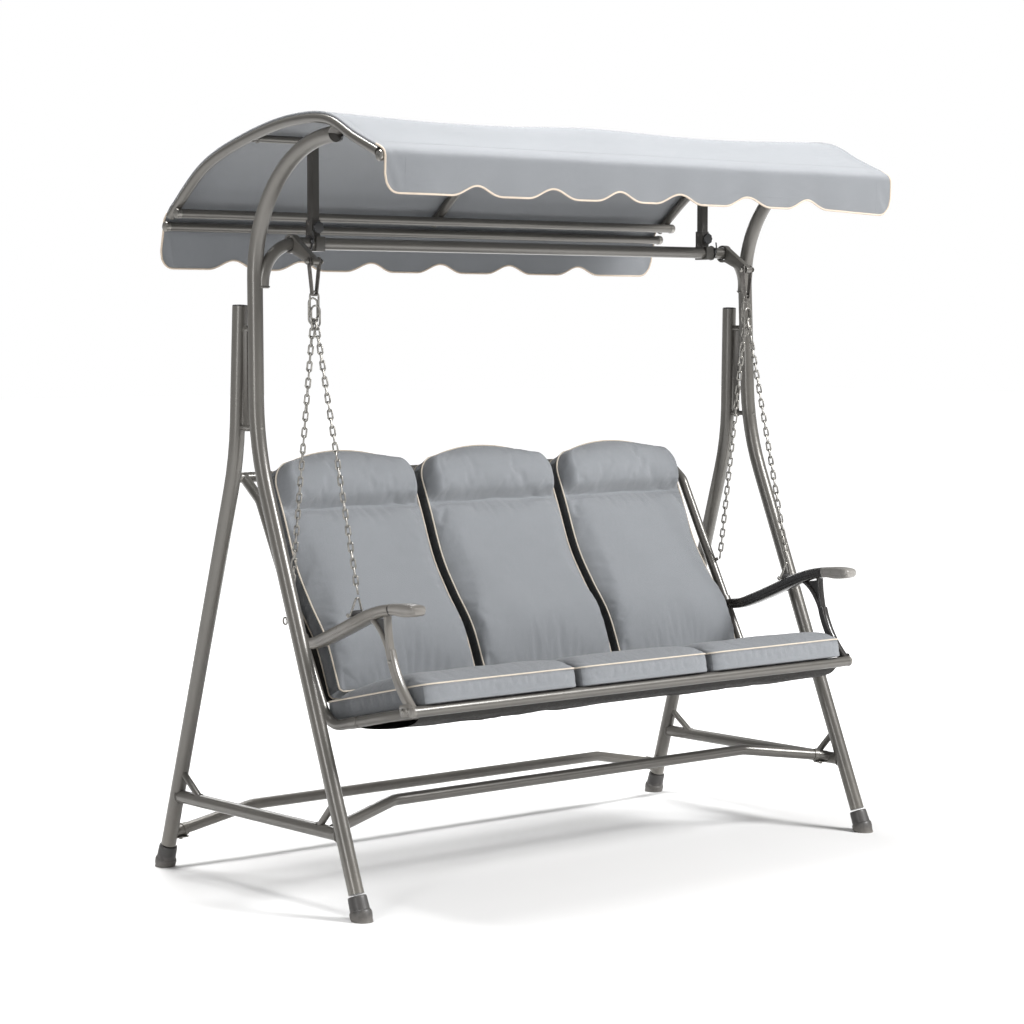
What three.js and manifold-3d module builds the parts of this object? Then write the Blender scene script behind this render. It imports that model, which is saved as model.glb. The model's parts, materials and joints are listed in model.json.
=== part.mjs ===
// Three-seat garden swing: splayed tube frame, hanging upholstered bench and tilting canopy.
// Millimetres, +Z up, the bench runs along X and its sitters face -Y. The dimensions below count
// y from the middle of the feet; the finished model is moved by ORIGIN_SHIFT, so that its origin
// is on the floor under the middle of its overall box.
import * as THREE from 'three';
import { mergeVertices } from 'three/addons/utils/BufferGeometryUtils.js';
import Module from 'manifold-3d';

const wasm = await Module();
wasm.setup();

const ORIGIN_SHIFT = 30;

// ---- frame ----------------------------------------------------------------------------
const FOOT_X = 900;            // half spacing of the feet along the bench
const FOOT_Y = 441;            // half spacing of the feet front to back
const LEG_LEAN = 0.0138;       // how far a leg leans inwards per millimetre of height
const LEG_R = 20;
const CAP_HEIGHT = 62;
const FRONT_LEG = [[-FOOT_Y, 0], [18, 1140], [40, 1915], [-290, 1915]];   // y, z corners
const FRONT_LEG_BENDS = [700, 338];
const REAR_LEG = [[FOOT_Y, 0], [108, 1110], [96, 1500]];
const REAR_LEG_BENDS = [700];
const SIDE_BAR = { y0: -365, y1: 380, z: 199, r: 17 };
const GUSSET_R = 9;
const STRETCHER_R = 15;
const CROSSBAR = { y: 13, z: 1660, r: 16, endX: 861, endZ: 1545, bend: 100 };
// ---- hangers and chains ---------------------------------------------------------------
const HANG = { x: 774, y: -81, z: 1611 };   // the axis that the bench swings about
const RING = { top: 1536, bottom: 1466, halfWidth: 14, wire: 3 };
const CHAIN_R = 5;
// ---- canopy ---------------------------------------------------------------------------
const CANOPY_HALF = 900;
const RIB_X = 884;
const RIB_R = 12.5;
const RIB_LINE = [[-497, 1863], [-401, 1903], [-299, 1950], [-152, 1956], [42, 1924],
  [246, 1857], [408, 1738]];
const FABRIC = 3;              // thickness of the canopy cloth
const FABRIC_LIFT = 1.2;       // gap between the ribs and the cloth
const FRONT_BAR = [-512, 1853];
const REAR_UPPER_BAR = [362, 1743.5];
const REAR_LOWER_BAR = [416, 1710.5];
const FRONT_VALANCE_FOOT = [-524, 1757];
const REAR_VALANCE_FOOT = [458, 1604];
const TILT = { y: -272, z: 1913 };          // the axis that the canopy tilts about
const POST = { x: 698, y: 26, half: 11, top: 1910.5 };
const STUB_Z = 1922;
// ---- bench ----------------------------------------------------------------------------
const BENCH_X = 765;           // centre of the bench's side tubes
const BENCH_R = 14;
const SIDE_A = [-486, 507];    // front end of the seat's side tube
const SIDE_B = [-122, 427.7];    // where it bends up into the backrest
const SIDE_C = [175, 992];     // where the backrest tube bends back
const SIDE_D = [251, 1050];    // top rail
const REAR_RAIL = [-186, 442];
const SEAT_DEPTH = 418;
const SEAT_THICK = 60;
const BACK_HEIGHT = 676;
const BACK_THICK = 50;
const SEAT_SPANS = { left: [-748, -240], middle: [-230, 230], right: [240, 748] };
const BACK_SPANS = { left: [-718, -264], middle: [-230, 230], right: [264, 718] };
const ARM_X = 770;
const ARM = { width: 48, thick: 28 };
const ARM_LINE = [[-506, 756], [-445, 756], [-380, 749], [-320, 733], [-255, 708], [-190, 681],
  [-125, 656], [-75, 640], [-8, 632]];
const STRUT_LINE = [[-352, 742], [-372, 690], [-400, 621], [-440, 553], [-484, 506]];

const V = (x, y, z) => new THREE.Vector3(x, y, z);
const paint = [0x8c8982, 0.42, 0.35];
const steel = [0xa9a6a0, 0.32, 0.9];
const rubber = [0x4b4846, 0.6, 0];
const black = [0x1c1b1a, 0.5, 0];
const cloth = [0x8f989f, 0.92, 0];

// A path that runs straight between its corners and turns each corner on a given radius.
// Its sections sit only at the ends and along the bends.
class BentPath extends THREE.Curve {
  constructor(corners, bends, bendStep = Math.PI / 15) {
    super();
    const heading = (i) => corners[i + 1].clone().sub(corners[i]).normalize();
    this.sections = [{ p: corners[0].clone(), t: heading(0) }];
    for (let i = 1; i < corners.length - 1; i += 1) {
      const t0 = heading(i - 1);
      const t1 = heading(i);
      const turn = t0.angleTo(t1);
      const start = corners[i].clone().addScaledVector(t0, -bends[i - 1] * Math.tan(turn / 2));
      const axis = t0.clone().cross(t1).normalize();
      const out = t0.clone().cross(axis);           // from the bend's centre to its start
      const centre = start.clone().addScaledVector(out, -bends[i - 1]);
      const steps = Math.max(2, Math.ceil(turn / bendStep));
      for (let k = 0; k <= steps; k += 1) {
        const a = (turn * k) / steps;
        const p = out.clone().applyAxisAngle(axis, a).multiplyScalar(bends[i - 1]).add(centre);
        this.sections.push({ p, t: t0.clone().applyAxisAngle(axis, a) });
      }
    }
    this.sections.push({ p: corners.at(-1).clone(), t: heading(corners.length - 2) });
  }

  at(u) { return this.sections[Math.round(u * (this.sections.length - 1))]; }

  getPoint(u) { return this.at(u).p.clone(); }

  getPointAt(u) { return this.at(u).p.clone(); }

  getTangent(u) { return this.at(u).t.clone(); }

  getTangentAt(u) { return this.at(u).t.clone(); }
}

function roundShape(rx, ry, count) {
  const points = [];
  for (let i = 0; i < count; i += 1) {
    const a = (2 * Math.PI * (i + 0.5)) / count;
    points.push(new THREE.Vector2(rx * Math.cos(a), ry * Math.sin(a)));
  }
  return new THREE.Shape(points);
}

function sweep(path, steps, shape) {
  return new THREE.ExtrudeGeometry(shape, { steps, extrudePath: path, bevelEnabled: false });
}

function tube(corners, radius, { bends = [], sides = 16 } = {}) {
  const path = new BentPath(corners, bends);
  return sweep(path, path.sections.length - 1, roundShape(radius, radius, sides));
}

function solid(geometry) {
  const bare = geometry.clone();
  bare.deleteAttribute('normal');
  bare.deleteAttribute('uv');
  const merged = mergeVertices(bare, 1e-3);
  return new wasm.Manifold(new wasm.Mesh({
    numProp: 3,
    vertProperties: Float32Array.from(merged.attributes.position.array),
    triVerts: Uint32Array.from(merged.index.array),
  }));
}

function geometryOf(manifold) {
  const { vertProperties, triVerts } = manifold.getMesh();
  const geometry = new THREE.BufferGeometry();
  geometry.setAttribute('position', new THREE.BufferAttribute(vertProperties, 3));
  geometry.setIndex(new THREE.BufferAttribute(triVerts, 1));
  return geometry;
}

const weld = (...pieces) => geometryOf(pieces.map(solid).reduce((a, b) => a.add(b)));
const cut = (piece, ...tools) => geometryOf(tools.map(solid).reduce((a, b) => a.subtract(b), solid(piece)));

// A block whose outline lies in the YZ plane, running from x0 to x1.
function slab(outline, x0, x1) {
  const shape = new THREE.Shape(outline.map(([y, z]) => new THREE.Vector2(y, z)));
  const geometry = new THREE.ExtrudeGeometry(shape, { depth: x1 - x0, bevelEnabled: false });
  geometry.applyMatrix4(new THREE.Matrix4().makeBasis(V(0, 1, 0), V(0, 0, 1), V(1, 0, 0)));
  return geometry.translate(x0, 0, 0);
}

function block(x0, x1, y0, y1, z0, z1) {
  return new THREE.BoxGeometry(x1 - x0, y1 - y0, z1 - z0)
    .translate((x0 + x1) / 2, (y0 + y1) / 2, (z0 + z1) / 2);
}

function disc(radius, depth, sides = 20) {
  return new THREE.CylinderGeometry(radius, radius, depth, sides);
}

const group = new THREE.Group();
const frame = new THREE.Group();
const canopy = new THREE.Group();
const bench = new THREE.Group();
group.add(frame, canopy, bench);

function add(parent, name, geometry, [color, roughness, metalness], position) {
  const mesh = new THREE.Mesh(geometry, new THREE.MeshStandardMaterial({ color, roughness, metalness }));
  mesh.name = name;
  if (position) mesh.position.copy(position);
  parent.add(mesh);
  return mesh;
}

// ---- frame ----------------------------------------------------------------------------
const legX = (z) => FOOT_X - LEG_LEAN * z;
const legPoint = (side, [y, z]) => V(side * legX(z), y, z);
const lerp = (a, b, t) => a.map((v, i) => v + (b[i] - v) * t);

function legTube(side, line, bends, radius, fromHeight) {
  const start = lerp(line[0], line[1], fromHeight / line[1][1]);
  return tube([start, ...line.slice(1)].map((p) => legPoint(side, p)), radius, { bends, sides: 18 });
}

function footCap(side, line) {
  const profile = [[0, -30], [25.5, -30], [28.5, 14], [28.5, 24], [26, 26], [24, CAP_HEIGHT], [0, CAP_HEIGHT]];
  const cap = new THREE.LatheGeometry(profile.map(([r, z]) => new THREE.Vector2(r, z)), 20);
  const along = legPoint(side, line[1]).sub(legPoint(side, line[0])).normalize();
  cap.applyQuaternion(new THREE.Quaternion().setFromUnitVectors(V(0, 1, 0), along));
  const foot = legPoint(side, line[0]);
  cap.translate(foot.x, foot.y, foot.z);
  return cut(cap, block(foot.x - 90, foot.x + 90, foot.y - 90, foot.y + 90, -90, 0));
}

for (const [word, side] of [['left', -1], ['right', 1]]) {
  const front = legTube(side, FRONT_LEG, FRONT_LEG_BENDS, LEG_R, CAP_HEIGHT);
  const rear = legTube(side, REAR_LEG, REAR_LEG_BENDS, LEG_R, CAP_HEIGHT);
  const frontClear = legTube(side, FRONT_LEG, FRONT_LEG_BENDS, LEG_R + 0.4, 0);
  const rearClear = legTube(side, REAR_LEG, REAR_LEG_BENDS, LEG_R + 0.4, 0);
  add(frame, `${word}_front_leg`, front, paint);
  add(frame, `${word}_rear_leg`, rear, paint);
  add(frame, `${word}_front_foot`, footCap(side, FRONT_LEG), rubber);
  add(frame, `${word}_rear_foot`, footCap(side, REAR_LEG), rubber);

  // Side bar between the legs, with a short brace welded at each end.
  const x = side * legX(SIDE_BAR.z);
  const bar = tube([V(x, SIDE_BAR.y0, SIDE_BAR.z), V(x, SIDE_BAR.y1, SIDE_BAR.z)], SIDE_BAR.r);
  const rearBrace = tube([legPoint(side, [363, 272]), V(x, 262, SIDE_BAR.z)], GUSSET_R, { sides: 10 });
  const frontBrace = tube([legPoint(side, [-332, 285]), V(x, -252, SIDE_BAR.z)], GUSSET_R, { sides: 10 });
  add(frame, `${word}_side_bar`, cut(weld(bar, rearBrace, frontBrace), frontClear, rearClear), paint);

  // The two legs run side by side above the bench and are bolted through two spacers.
  const spacers = [1190, 1440].map((z) => {
    const y = z > 1300 ? [33, 99] : [16, 106];
    return tube([V(side * legX(z), y[0], z), V(side * legX(z), y[1], z)], 7, { sides: 10 });
  });
  const strap = block(side * legX(1315) - 4, side * legX(1315) + 4, 58, 76, 1180, 1450);
  add(frame, `${word}_leg_joint`, cut(weld(strap, ...spacers), frontClear, rearClear), steel);
}

const sideBarClear = [-1, 1].map((side) => {
  const x = side * legX(SIDE_BAR.z);
  return tube([V(x, SIDE_BAR.y0, SIDE_BAR.z), V(x, SIDE_BAR.y1, SIDE_BAR.z)], SIDE_BAR.r + 0.4);
});
const rearLegClear = [-1, 1].map((side) => legTube(side, REAR_LEG, REAR_LEG_BENDS, LEG_R + 0.4, 0));
const frontLegClear = [-1, 1].map((side) => legTube(side, FRONT_LEG, FRONT_LEG_BENDS, LEG_R + 0.4, 0));

// A floor stretcher: straight in the middle, with both ends bent down and outwards.
const stretcher = (end, knee) => tube(
  [V(-end[0], end[1], end[2]), V(-knee[0], knee[1], knee[2]), V(knee[0], knee[1], knee[2]), V(end[0], end[1], end[2])],
  STRETCHER_R,
  { bends: [70, 70] },
);
add(frame, 'front_stretcher', cut(stretcher([886, -306, 205], [632, -219, 238]), ...sideBarClear), paint);
add(frame, 'rear_stretcher', cut(stretcher([890, 417, 92], [636, 410, 141]), ...rearLegClear), paint);

const crossbarCorners = [
  V(-CROSSBAR.endX, CROSSBAR.y + 8, CROSSBAR.endZ), V(-CROSSBAR.endX, CROSSBAR.y, CROSSBAR.z),
  V(CROSSBAR.endX, CROSSBAR.y, CROSSBAR.z), V(CROSSBAR.endX, CROSSBAR.y + 8, CROSSBAR.endZ),
];
const crossbar = tube(crossbarCorners, CROSSBAR.r, { bends: [CROSSBAR.bend, CROSSBAR.bend] });
add(frame, 'crossbar', cut(crossbar, ...frontLegClear), paint);

// Canopy posts: square tube on a clamp foot that sits on the crossbar, with a clamp knob.
const crossbarClear = tube(crossbarCorners, CROSSBAR.r + 0.4, { bends: [CROSSBAR.bend, CROSSBAR.bend] });
for (const [word, side] of [['left', -1], ['right', 1]]) {
  const x = side * POST.x;
  const shaft = block(x - POST.half, x + POST.half, POST.y - POST.half, POST.y + POST.half, 1690, POST.top);
  const foot = block(x - 14, x + 14, CROSSBAR.y - 20, POST.y + 16, CROSSBAR.z - 20, 1678);
  const neck = block(x - 13, x + 13, POST.y - 13, POST.y + 15, 1676, 1722);
  add(frame, `${word}_post`, cut(weld(shaft, foot, neck), crossbarClear), paint);
  const knob = weld(disc(16, 9, 24), disc(9, 13, 16).translate(0, -1.5, 0));
  add(frame, `${word}_post_knob`, knob, black, V(x, POST.y - 13 - 5.6, 1701));
}

// Hanger brackets: a ring round the crossbar with an arm that carries the swing pin.
for (const [word, side] of [['left', -1], ['right', 1]]) {
  const x = side * HANG.x;
  const barZ = CROSSBAR.z - 2;
  const outline = [];
  for (let i = 0; i <= 14; i += 1) {
    const a = -Math.PI * 0.62 + (Math.PI * 1.42 * i) / 14;
    outline.push([CROSSBAR.y + 25 * Math.cos(a), barZ + 25 * Math.sin(a)]);
  }
  for (let i = 0; i <= 8; i += 1) {
    const a = Math.PI * 0.62 + (Math.PI * i) / 8;
    outline.push([HANG.y + 11 * Math.cos(a), HANG.z + 11 * Math.sin(a)]);
  }
  const pin = disc(4, 44, 12).rotateZ(Math.PI / 2).translate(x, HANG.y, HANG.z);
  const bore = disc(19.6, 60, 24).rotateZ(Math.PI / 2).translate(x, CROSSBAR.y, barZ);
  const body = cut(slab(outline, x - 9, x + 9), bore);
  add(frame, `${word}_hanger_bracket`, weld(body, pin), paint);
}

// ---- canopy ---------------------------------------------------------------------------
const ribCurve = (x, line) => new THREE.CatmullRomCurve3(line.map(([y, z]) => V(x, y, z)), false, 'centripetal');
const CANOPY_STEPS = 20;

for (const [word, x] of [['left', -RIB_X], ['middle', 0], ['right', RIB_X]]) {
  const rib = sweep(ribCurve(x, RIB_LINE), CANOPY_STEPS, roundShape(RIB_R, RIB_R, 12));
  if (x === 0) {
    add(canopy, 'middle_rib', rib, paint);
  } else {
    const side = Math.sign(x);
    const stub = tube([V(x, POST.y, STUB_Z), V(side * (POST.x - 16), POST.y, STUB_Z)], 10, { sides: 12 });
    add(canopy, `${word}_rib`, weld(rib, stub), paint);
  }
}
const canopyBar = ([y, z], half) => tube([V(-half, y, z), V(half, y, z)], RIB_R, { sides: 12 });
const ribsClear = [-RIB_X, 0, RIB_X].map((x) => sweep(ribCurve(x, RIB_LINE), CANOPY_STEPS, roundShape(13, 13, 12)));
add(canopy, 'front_bar', cut(canopyBar(FRONT_BAR, 893), ...ribsClear), paint);
add(canopy, 'rear_upper_bar', cut(canopyBar(REAR_UPPER_BAR, 894), ...ribsClear), paint);
add(canopy, 'rear_lower_bar', cut(canopyBar(REAR_LOWER_BAR, 894), ...ribsClear), paint);

// The cloth is one sheet: it hangs as the front valance, runs over the ribs and hangs again
// behind the lower rear bar.
const ribSamples = ribCurve(0, RIB_LINE).getSpacedPoints(CANOPY_STEPS);
const overRibs = (lift) => ribSamples.map((p, i) => {
  const a = ribSamples[Math.max(0, i - 1)];
  const b = ribSamples[Math.min(CANOPY_STEPS, i + 1)];
  const run = Math.hypot(b.y - a.y, b.z - a.z);
  return [p.y - (lift * (b.z - a.z)) / run, p.z + (lift * (b.y - a.y)) / run];
});
const lift = RIB_R + FABRIC_LIFT;
const inner = [[FRONT_VALANCE_FOOT[0], FRONT_VALANCE_FOOT[1]], [-526.5, 1853], [-522, 1866],
  ...overRibs(lift).slice(1), [432, 1722], [432, 1706], [REAR_VALANCE_FOOT[0] - FABRIC, REAR_VALANCE_FOOT[1]]];
const outer = [[FRONT_VALANCE_FOOT[0] - FABRIC, FRONT_VALANCE_FOOT[1]], [-529.5, 1854], [-524, 1869],
  ...overRibs(lift + FABRIC).slice(1), [435, 1724], [435.4, 1706.5], [...REAR_VALANCE_FOOT]];
add(canopy, 'canopy_cloth', slab([...outer, ...inner.reverse()].reverse(), -CANOPY_HALF, CANOPY_HALF), cloth);

// Tilt pivots: an ear hanging from each outer rib beside the front leg's end, and its knob.
for (const [word, side] of [['left', -1], ['right', 1]]) {
  const ear = block(side * 849 - 2.5, side * 849 + 2.5, TILT.y - 16, TILT.y + 16, TILT.z - 14, 1952);
  const tab = block(Math.min(side * 849, side * 874), Math.max(side * 849, side * 874), TILT.y - 16, TILT.y + 16, 1946, 1952);
  add(canopy, `${word}_tilt_ear`, cut(weld(ear, tab), ribsClear[side < 0 ? 0 : 2]), paint);
  const knob = weld(disc(13, 12, 8), disc(8, 4, 12).translate(0, -8, 0));
  knob.rotateZ((side * Math.PI) / 2);
  add(canopy, `${word}_tilt_knob`, knob, black, V(side * 836, TILT.y, TILT.z));
}

// ---- bench frame ----------------------------------------------------------------------
const benchLine = [SIDE_A, SIDE_B, SIDE_C, SIDE_D];
const benchCorners = (x) => benchLine.map(([y, z]) => V(x, y, z));
const rail = ([y, z], half, radius = BENCH_R) => tube([V(-half, y, z), V(half, y, z)], radius);
const sideTube = (x, radius) => tube(benchCorners(x), radius, { bends: [75, 45] });
const benchSideClear = [-1, 1].map((side) => sideTube(side * BENCH_X, BENCH_R + 0.4));
const railEnd = BENCH_X + BENCH_R;

for (const [word, side] of [['left', -1], ['right', 1]]) {
  const x = side * BENCH_X;
  const lug = tube([V(x, 50, 755), V(x + side * 6, 31, 761)], 5, { sides: 8 });
  const body = weld(sideTube(x, BENCH_R), lug);
  add(bench, `${word}_bench_side`, cut(body, rail(SIDE_A, railEnd + 20, BENCH_R + 0.4), rail(SIDE_D, railEnd + 20, BENCH_R + 0.4)), paint);
}
add(bench, 'front_rail', rail(SIDE_A, railEnd), paint);
add(bench, 'rear_rail', cut(rail(REAR_RAIL, BENCH_X), ...benchSideClear), paint);
add(bench, 'top_rail', rail(SIDE_D, railEnd), paint);

// Slings that carry the cushions: both hang a little slack between the side tubes.
const band = (line, thick) => [...line, ...line.map(([y, z]) => [y, z - thick]).reverse()].reverse();
const SEAT_SLING = [[-468, 498], [-430, 474], [-380, 456], [-320, 446], [-260, 440], [-203, 440]];
add(bench, 'seat_sling', slab(band(SEAT_SLING, 4), -745, 745), black);
const up = new THREE.Vector2(SIDE_C[0] - SIDE_B[0], SIDE_C[1] - SIDE_B[1]).normalize();
const onBack = (along, behind) => [SIDE_B[0] + up.x * along + up.y * behind, SIDE_B[1] + up.y * along - up.x * behind];
const SLING_BEHIND = 25;
const slingEdge = (behind) => [75, 360, 655].map((along) => onBack(along, behind));
const BACK_SLING = [...slingEdge(SLING_BEHIND), ...slingEdge(SLING_BEHIND + 3.5).reverse()];
add(bench, 'back_sling', slab([...BACK_SLING].reverse(), -745, 745), black);

// ---- armrests -------------------------------------------------------------------------
function armShape() {
  const w = ARM.width / 2;
  const t = ARM.thick / 2;
  const corners = [[-w, -t + 9], [-w + 9, -t], [w - 9, -t], [w, -t + 9], [w, t - 9], [w - 9, t], [-w + 9, t], [-w, t - 9]];
  return new THREE.Shape(corners.map(([a, b]) => new THREE.Vector2(a, b)));
}

for (const [word, side] of [['left', -1], ['right', 1]]) {
  const x = side * ARM_X;
  const i = side < 0 ? 0 : 1;
  const armCurve = new THREE.CatmullRomCurve3(ARM_LINE.map(([y, z]) => V(x, y, z)));
  const armBody = sweep(armCurve, 22, armShape());
  add(bench, `${word}_armrest`, cut(armBody, benchSideClear[i]), paint);
  const strutCurve = new THREE.CatmullRomCurve3(STRUT_LINE.map(([y, z]) => V(x + side * 3, y, z)));
  const armGrow = new THREE.CatmullRomCurve3(ARM_LINE.map(([y, z]) => V(x, y, z - 0.4)));
  add(
    bench,
    `${word}_arm_strut`,
    cut(sweep(strutCurve, 12, roundShape(12, 17, 14)), sweep(armGrow, 22, armShape()), rail(SIDE_A, railEnd + 20, BENCH_R + 0.4), benchSideClear[i]),
    paint,
  );
}

// ---- cushions -------------------------------------------------------------------------
// Sections in the cushion's own plane: u runs along it, v up from its underside.
const seatDir = new THREE.Vector2(SIDE_B[0] - SIDE_A[0], SIDE_B[1] - SIDE_A[1]).normalize();
const onSeat = (u, v) => [-503 + seatDir.x * u - seatDir.y * v, 526.5 + seatDir.y * u + seatDir.x * v];
const SEAT_SECTION = [[6, 0], [SEAT_DEPTH - 6, 0], [SEAT_DEPTH, 8], [SEAT_DEPTH, 50], [SEAT_DEPTH - 8, SEAT_THICK],
  [260, 76], [130, 80], [45, 74], [8, SEAT_THICK], [-6, 48], [-9, 30], [-4, 8]];
const BACK_START = 82;
const BACK_FRONT = -27;
const BACK_SECTION = [[0, 8], [0, 44], [12, BACK_THICK], [170, 82], [330, 84], [448, 72], [516, 56], [532, 57],
  [560, 80], [620, 82], [664, 60], [BACK_HEIGHT, 36], [BACK_HEIGHT, 8], [BACK_HEIGHT - 8, 0], [8, 0]];
for (const word of ['left', 'middle', 'right']) {
  add(bench, `${word}_seat_cushion`, slab(SEAT_SECTION.map(([u, v]) => onSeat(u, v)), ...SEAT_SPANS[word]), cloth);
  const section = BACK_SECTION.map(([u, v]) => onBack(BACK_START + u, BACK_FRONT + BACK_THICK - v));
  add(bench, `${word}_back_cushion`, slab(section, ...BACK_SPANS[word]), cloth);
}

// ---- suspension -----------------------------------------------------------------------
for (const [word, side] of [['left', -1], ['right', 1]]) {
  const x = side * HANG.x;
  // V-shaped strap: two cheeks on the swing pin that meet round the top ring.
  const half = [[17, HANG.z + 12], [17, HANG.z - 12], [8, 1528], [4, 1524]];
  const thin = [[13, HANG.z - 12], [5, 1531], [3.4, 1528]];
  const strapOutline = [...half, ...half.map(([a, z]) => [-a, z]).reverse(), [-13, HANG.z + 12],
    ...thin.map(([a, z]) => [-a, z]), ...thin.reverse(), [13, HANG.z + 12]];
  const strap = new THREE.ExtrudeGeometry(
    new THREE.Shape(strapOutline.map(([a, z]) => new THREE.Vector2(a, z)).reverse()),
    { depth: 12, bevelEnabled: false },
  );
  strap.applyMatrix4(new THREE.Matrix4().makeBasis(V(1, 0, 0), V(0, 0, 1), V(0, -1, 0)));
  strap.translate(x, HANG.y + 6, 0);
  const pinHole = disc(4.3, 60, 12).rotateZ(Math.PI / 2).translate(x, HANG.y, HANG.z);
  add(bench, `${word}_hook`, cut(strap, pinHole), steel);

  // Long ring that both chains hang from.
  const ring = [];
  for (let i = 0; i < 20; i += 1) {
    const a = (2 * Math.PI * i) / 20;
    const end = Math.sin(a) >= 0 ? RING.top - RING.halfWidth : RING.bottom + RING.halfWidth;
    ring.push(V(x, HANG.y + RING.halfWidth * Math.cos(a), end + RING.halfWidth * Math.sin(a)));
  }
  const ringCurve = new THREE.CatmullRomCurve3(ring, true);
  add(bench, `${word}_top_ring`, sweep(ringCurve, 28, roundShape(RING.wire, RING.wire, 8)), steel);

  // Each chain stands as a slim rod along its line.
  const frontFoot = V(side * ARM_X, -254, 786);
  const rearFoot = V(x, 22.8, 770);
  const chainTop = (y) => V(x, HANG.y + y, RING.bottom - 6);
  add(bench, `${word}_front_chain`, tube([chainTop(-5.6), frontFoot], CHAIN_R, { sides: 8 }), steel);
  add(bench, `${word}_rear_chain`, tube([chainTop(5.6), rearFoot], CHAIN_R, { sides: 8 }), steel);

  // Triangular shackle that straddles the armrest under the front chain.
  const footX = ARM.width / 2 - 4;
  const shackle = tube(
    [V(side * ARM_X - footX, -248, 723.5), V(side * ARM_X, -254, 777), V(side * ARM_X + footX, -248, 723.5)],
    3,
    { bends: [7], sides: 8 },
  );
  add(bench, `${word}_shackle`, shackle, steel);
}

group.position.y = ORIGIN_SHIFT;

export default group;
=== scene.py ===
import json
import math

import bmesh
import bpy
import numpy as np
from mathutils import Matrix, Vector

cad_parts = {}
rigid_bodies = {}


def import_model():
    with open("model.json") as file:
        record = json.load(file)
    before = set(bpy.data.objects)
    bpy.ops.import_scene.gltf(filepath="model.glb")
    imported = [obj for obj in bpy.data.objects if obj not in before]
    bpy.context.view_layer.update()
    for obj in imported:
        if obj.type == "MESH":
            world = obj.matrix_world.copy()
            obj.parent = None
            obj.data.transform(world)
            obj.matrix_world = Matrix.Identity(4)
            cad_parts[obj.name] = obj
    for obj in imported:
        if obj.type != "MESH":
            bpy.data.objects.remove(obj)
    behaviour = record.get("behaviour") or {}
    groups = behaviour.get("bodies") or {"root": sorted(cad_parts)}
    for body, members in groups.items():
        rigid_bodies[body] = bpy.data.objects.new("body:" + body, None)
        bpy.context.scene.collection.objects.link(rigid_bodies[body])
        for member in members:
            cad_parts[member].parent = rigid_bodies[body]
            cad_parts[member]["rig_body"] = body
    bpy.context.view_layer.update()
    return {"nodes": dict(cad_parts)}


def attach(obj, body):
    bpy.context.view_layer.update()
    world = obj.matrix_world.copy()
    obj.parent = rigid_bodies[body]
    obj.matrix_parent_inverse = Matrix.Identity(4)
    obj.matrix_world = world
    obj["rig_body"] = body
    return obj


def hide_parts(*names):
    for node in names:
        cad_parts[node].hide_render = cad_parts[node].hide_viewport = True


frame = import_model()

# Three-seat garden swing, x along the bench, sitters face -y, z up. Lengths below are in
# millimetres and count y from the middle of the feet; each piece is scaled to metres and
# moved by ORIGIN_SHIFT into the CAD frame when it is made.
MM = 0.001
ORIGIN_SHIFT = 30
SIDES = (("left", -1), ("right", 1))

# ---- camera -----------------------------------------------------------------------------
EYE = (-4.790, -5.579, 1.453)
AIM = (0.6439, 0.7619, -0.0698)
LENS = 94.3

camera = bpy.data.objects.new("camera", bpy.data.cameras.new("camera"))
bpy.context.scene.collection.objects.link(camera)
camera.location = EYE
camera.rotation_euler = Vector(AIM).to_track_quat("-Z", "Y").to_euler()
camera.data.lens = LENS
camera.data.sensor_width = 36
camera.data.clip_end = 100
bpy.context.scene.camera = camera


# ---- mesh tools -------------------------------------------------------------------------
def vec(*p):
    return np.array(p, float)


def unit(v):
    v = np.asarray(v, float)
    return v / np.linalg.norm(v)


def circle(radius, count=32, ry=None):
    a = np.arange(count) * 2 * math.pi / count
    return np.stack([radius * np.cos(a), (ry or radius) * np.sin(a)], 1)


def rounded_box(width, height, radius, steps=5):
    """Outline of a rectangle with rounded corners, anticlockwise."""
    out = []
    for k, (sx, sy) in enumerate(((1, 1), (-1, 1), (-1, -1), (1, -1))):
        cx, cy = sx * (width / 2 - radius), sy * (height / 2 - radius)
        for i in range(steps + 1):
            a = math.pi / 2 * (k + i / steps)
            out.append((cx + radius * math.cos(a), cy + radius * math.sin(a)))
    return np.array(out)


def bent(corners, bends, step=math.radians(4)):
    """Points of a path that runs straight and turns each inner corner on its radius."""
    c = [np.asarray(p, float) for p in corners]
    out = [c[0]]
    for i, radius in zip(range(1, len(c) - 1), bends):
        t0, t1 = unit(c[i] - c[i - 1]), unit(c[i + 1] - c[i])
        turn = math.acos(np.clip(t0 @ t1, -1, 1))
        axis = unit(np.cross(t0, t1))
        start = c[i] - t0 * radius * math.tan(turn / 2)
        inward = np.cross(axis, t0)
        for k in range(max(3, math.ceil(turn / step)) + 1):
            a = turn * k / max(3, math.ceil(turn / step))
            out.append(start + radius * (inward * (1 - math.cos(a)) + t0 * math.sin(a)))
    out.append(c[-1])
    return np.array(out)


def smooth_line(points, count):
    """Centripetal Catmull-Rom curve through the points, sampled evenly along its length."""
    p = [np.asarray(q, float) for q in points]
    p = [2 * p[0] - p[1], *p, 2 * p[-1] - p[-2]]
    dense = []
    for a, b, c, d in zip(p, p[1:], p[2:], p[3:]):
        d0, d1, d2 = (math.sqrt(np.linalg.norm(q - r)) for q, r in ((b, a), (c, b), (d, c)))
        t0 = ((b - a) / d0 - (c - a) / (d0 + d1) + (c - b) / d1) * d1
        t1 = ((c - b) / d1 - (d - b) / (d1 + d2) + (d - c) / d2) * d1
        for t in np.arange(24) / 24:
            dense.append(b + t0 * t + (3 * (c - b) - 2 * t0 - t1) * t**2 + (2 * (b - c) + t0 + t1) * t**3)
    dense.append(p[-2])
    return spaced(np.array(dense), count)


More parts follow.
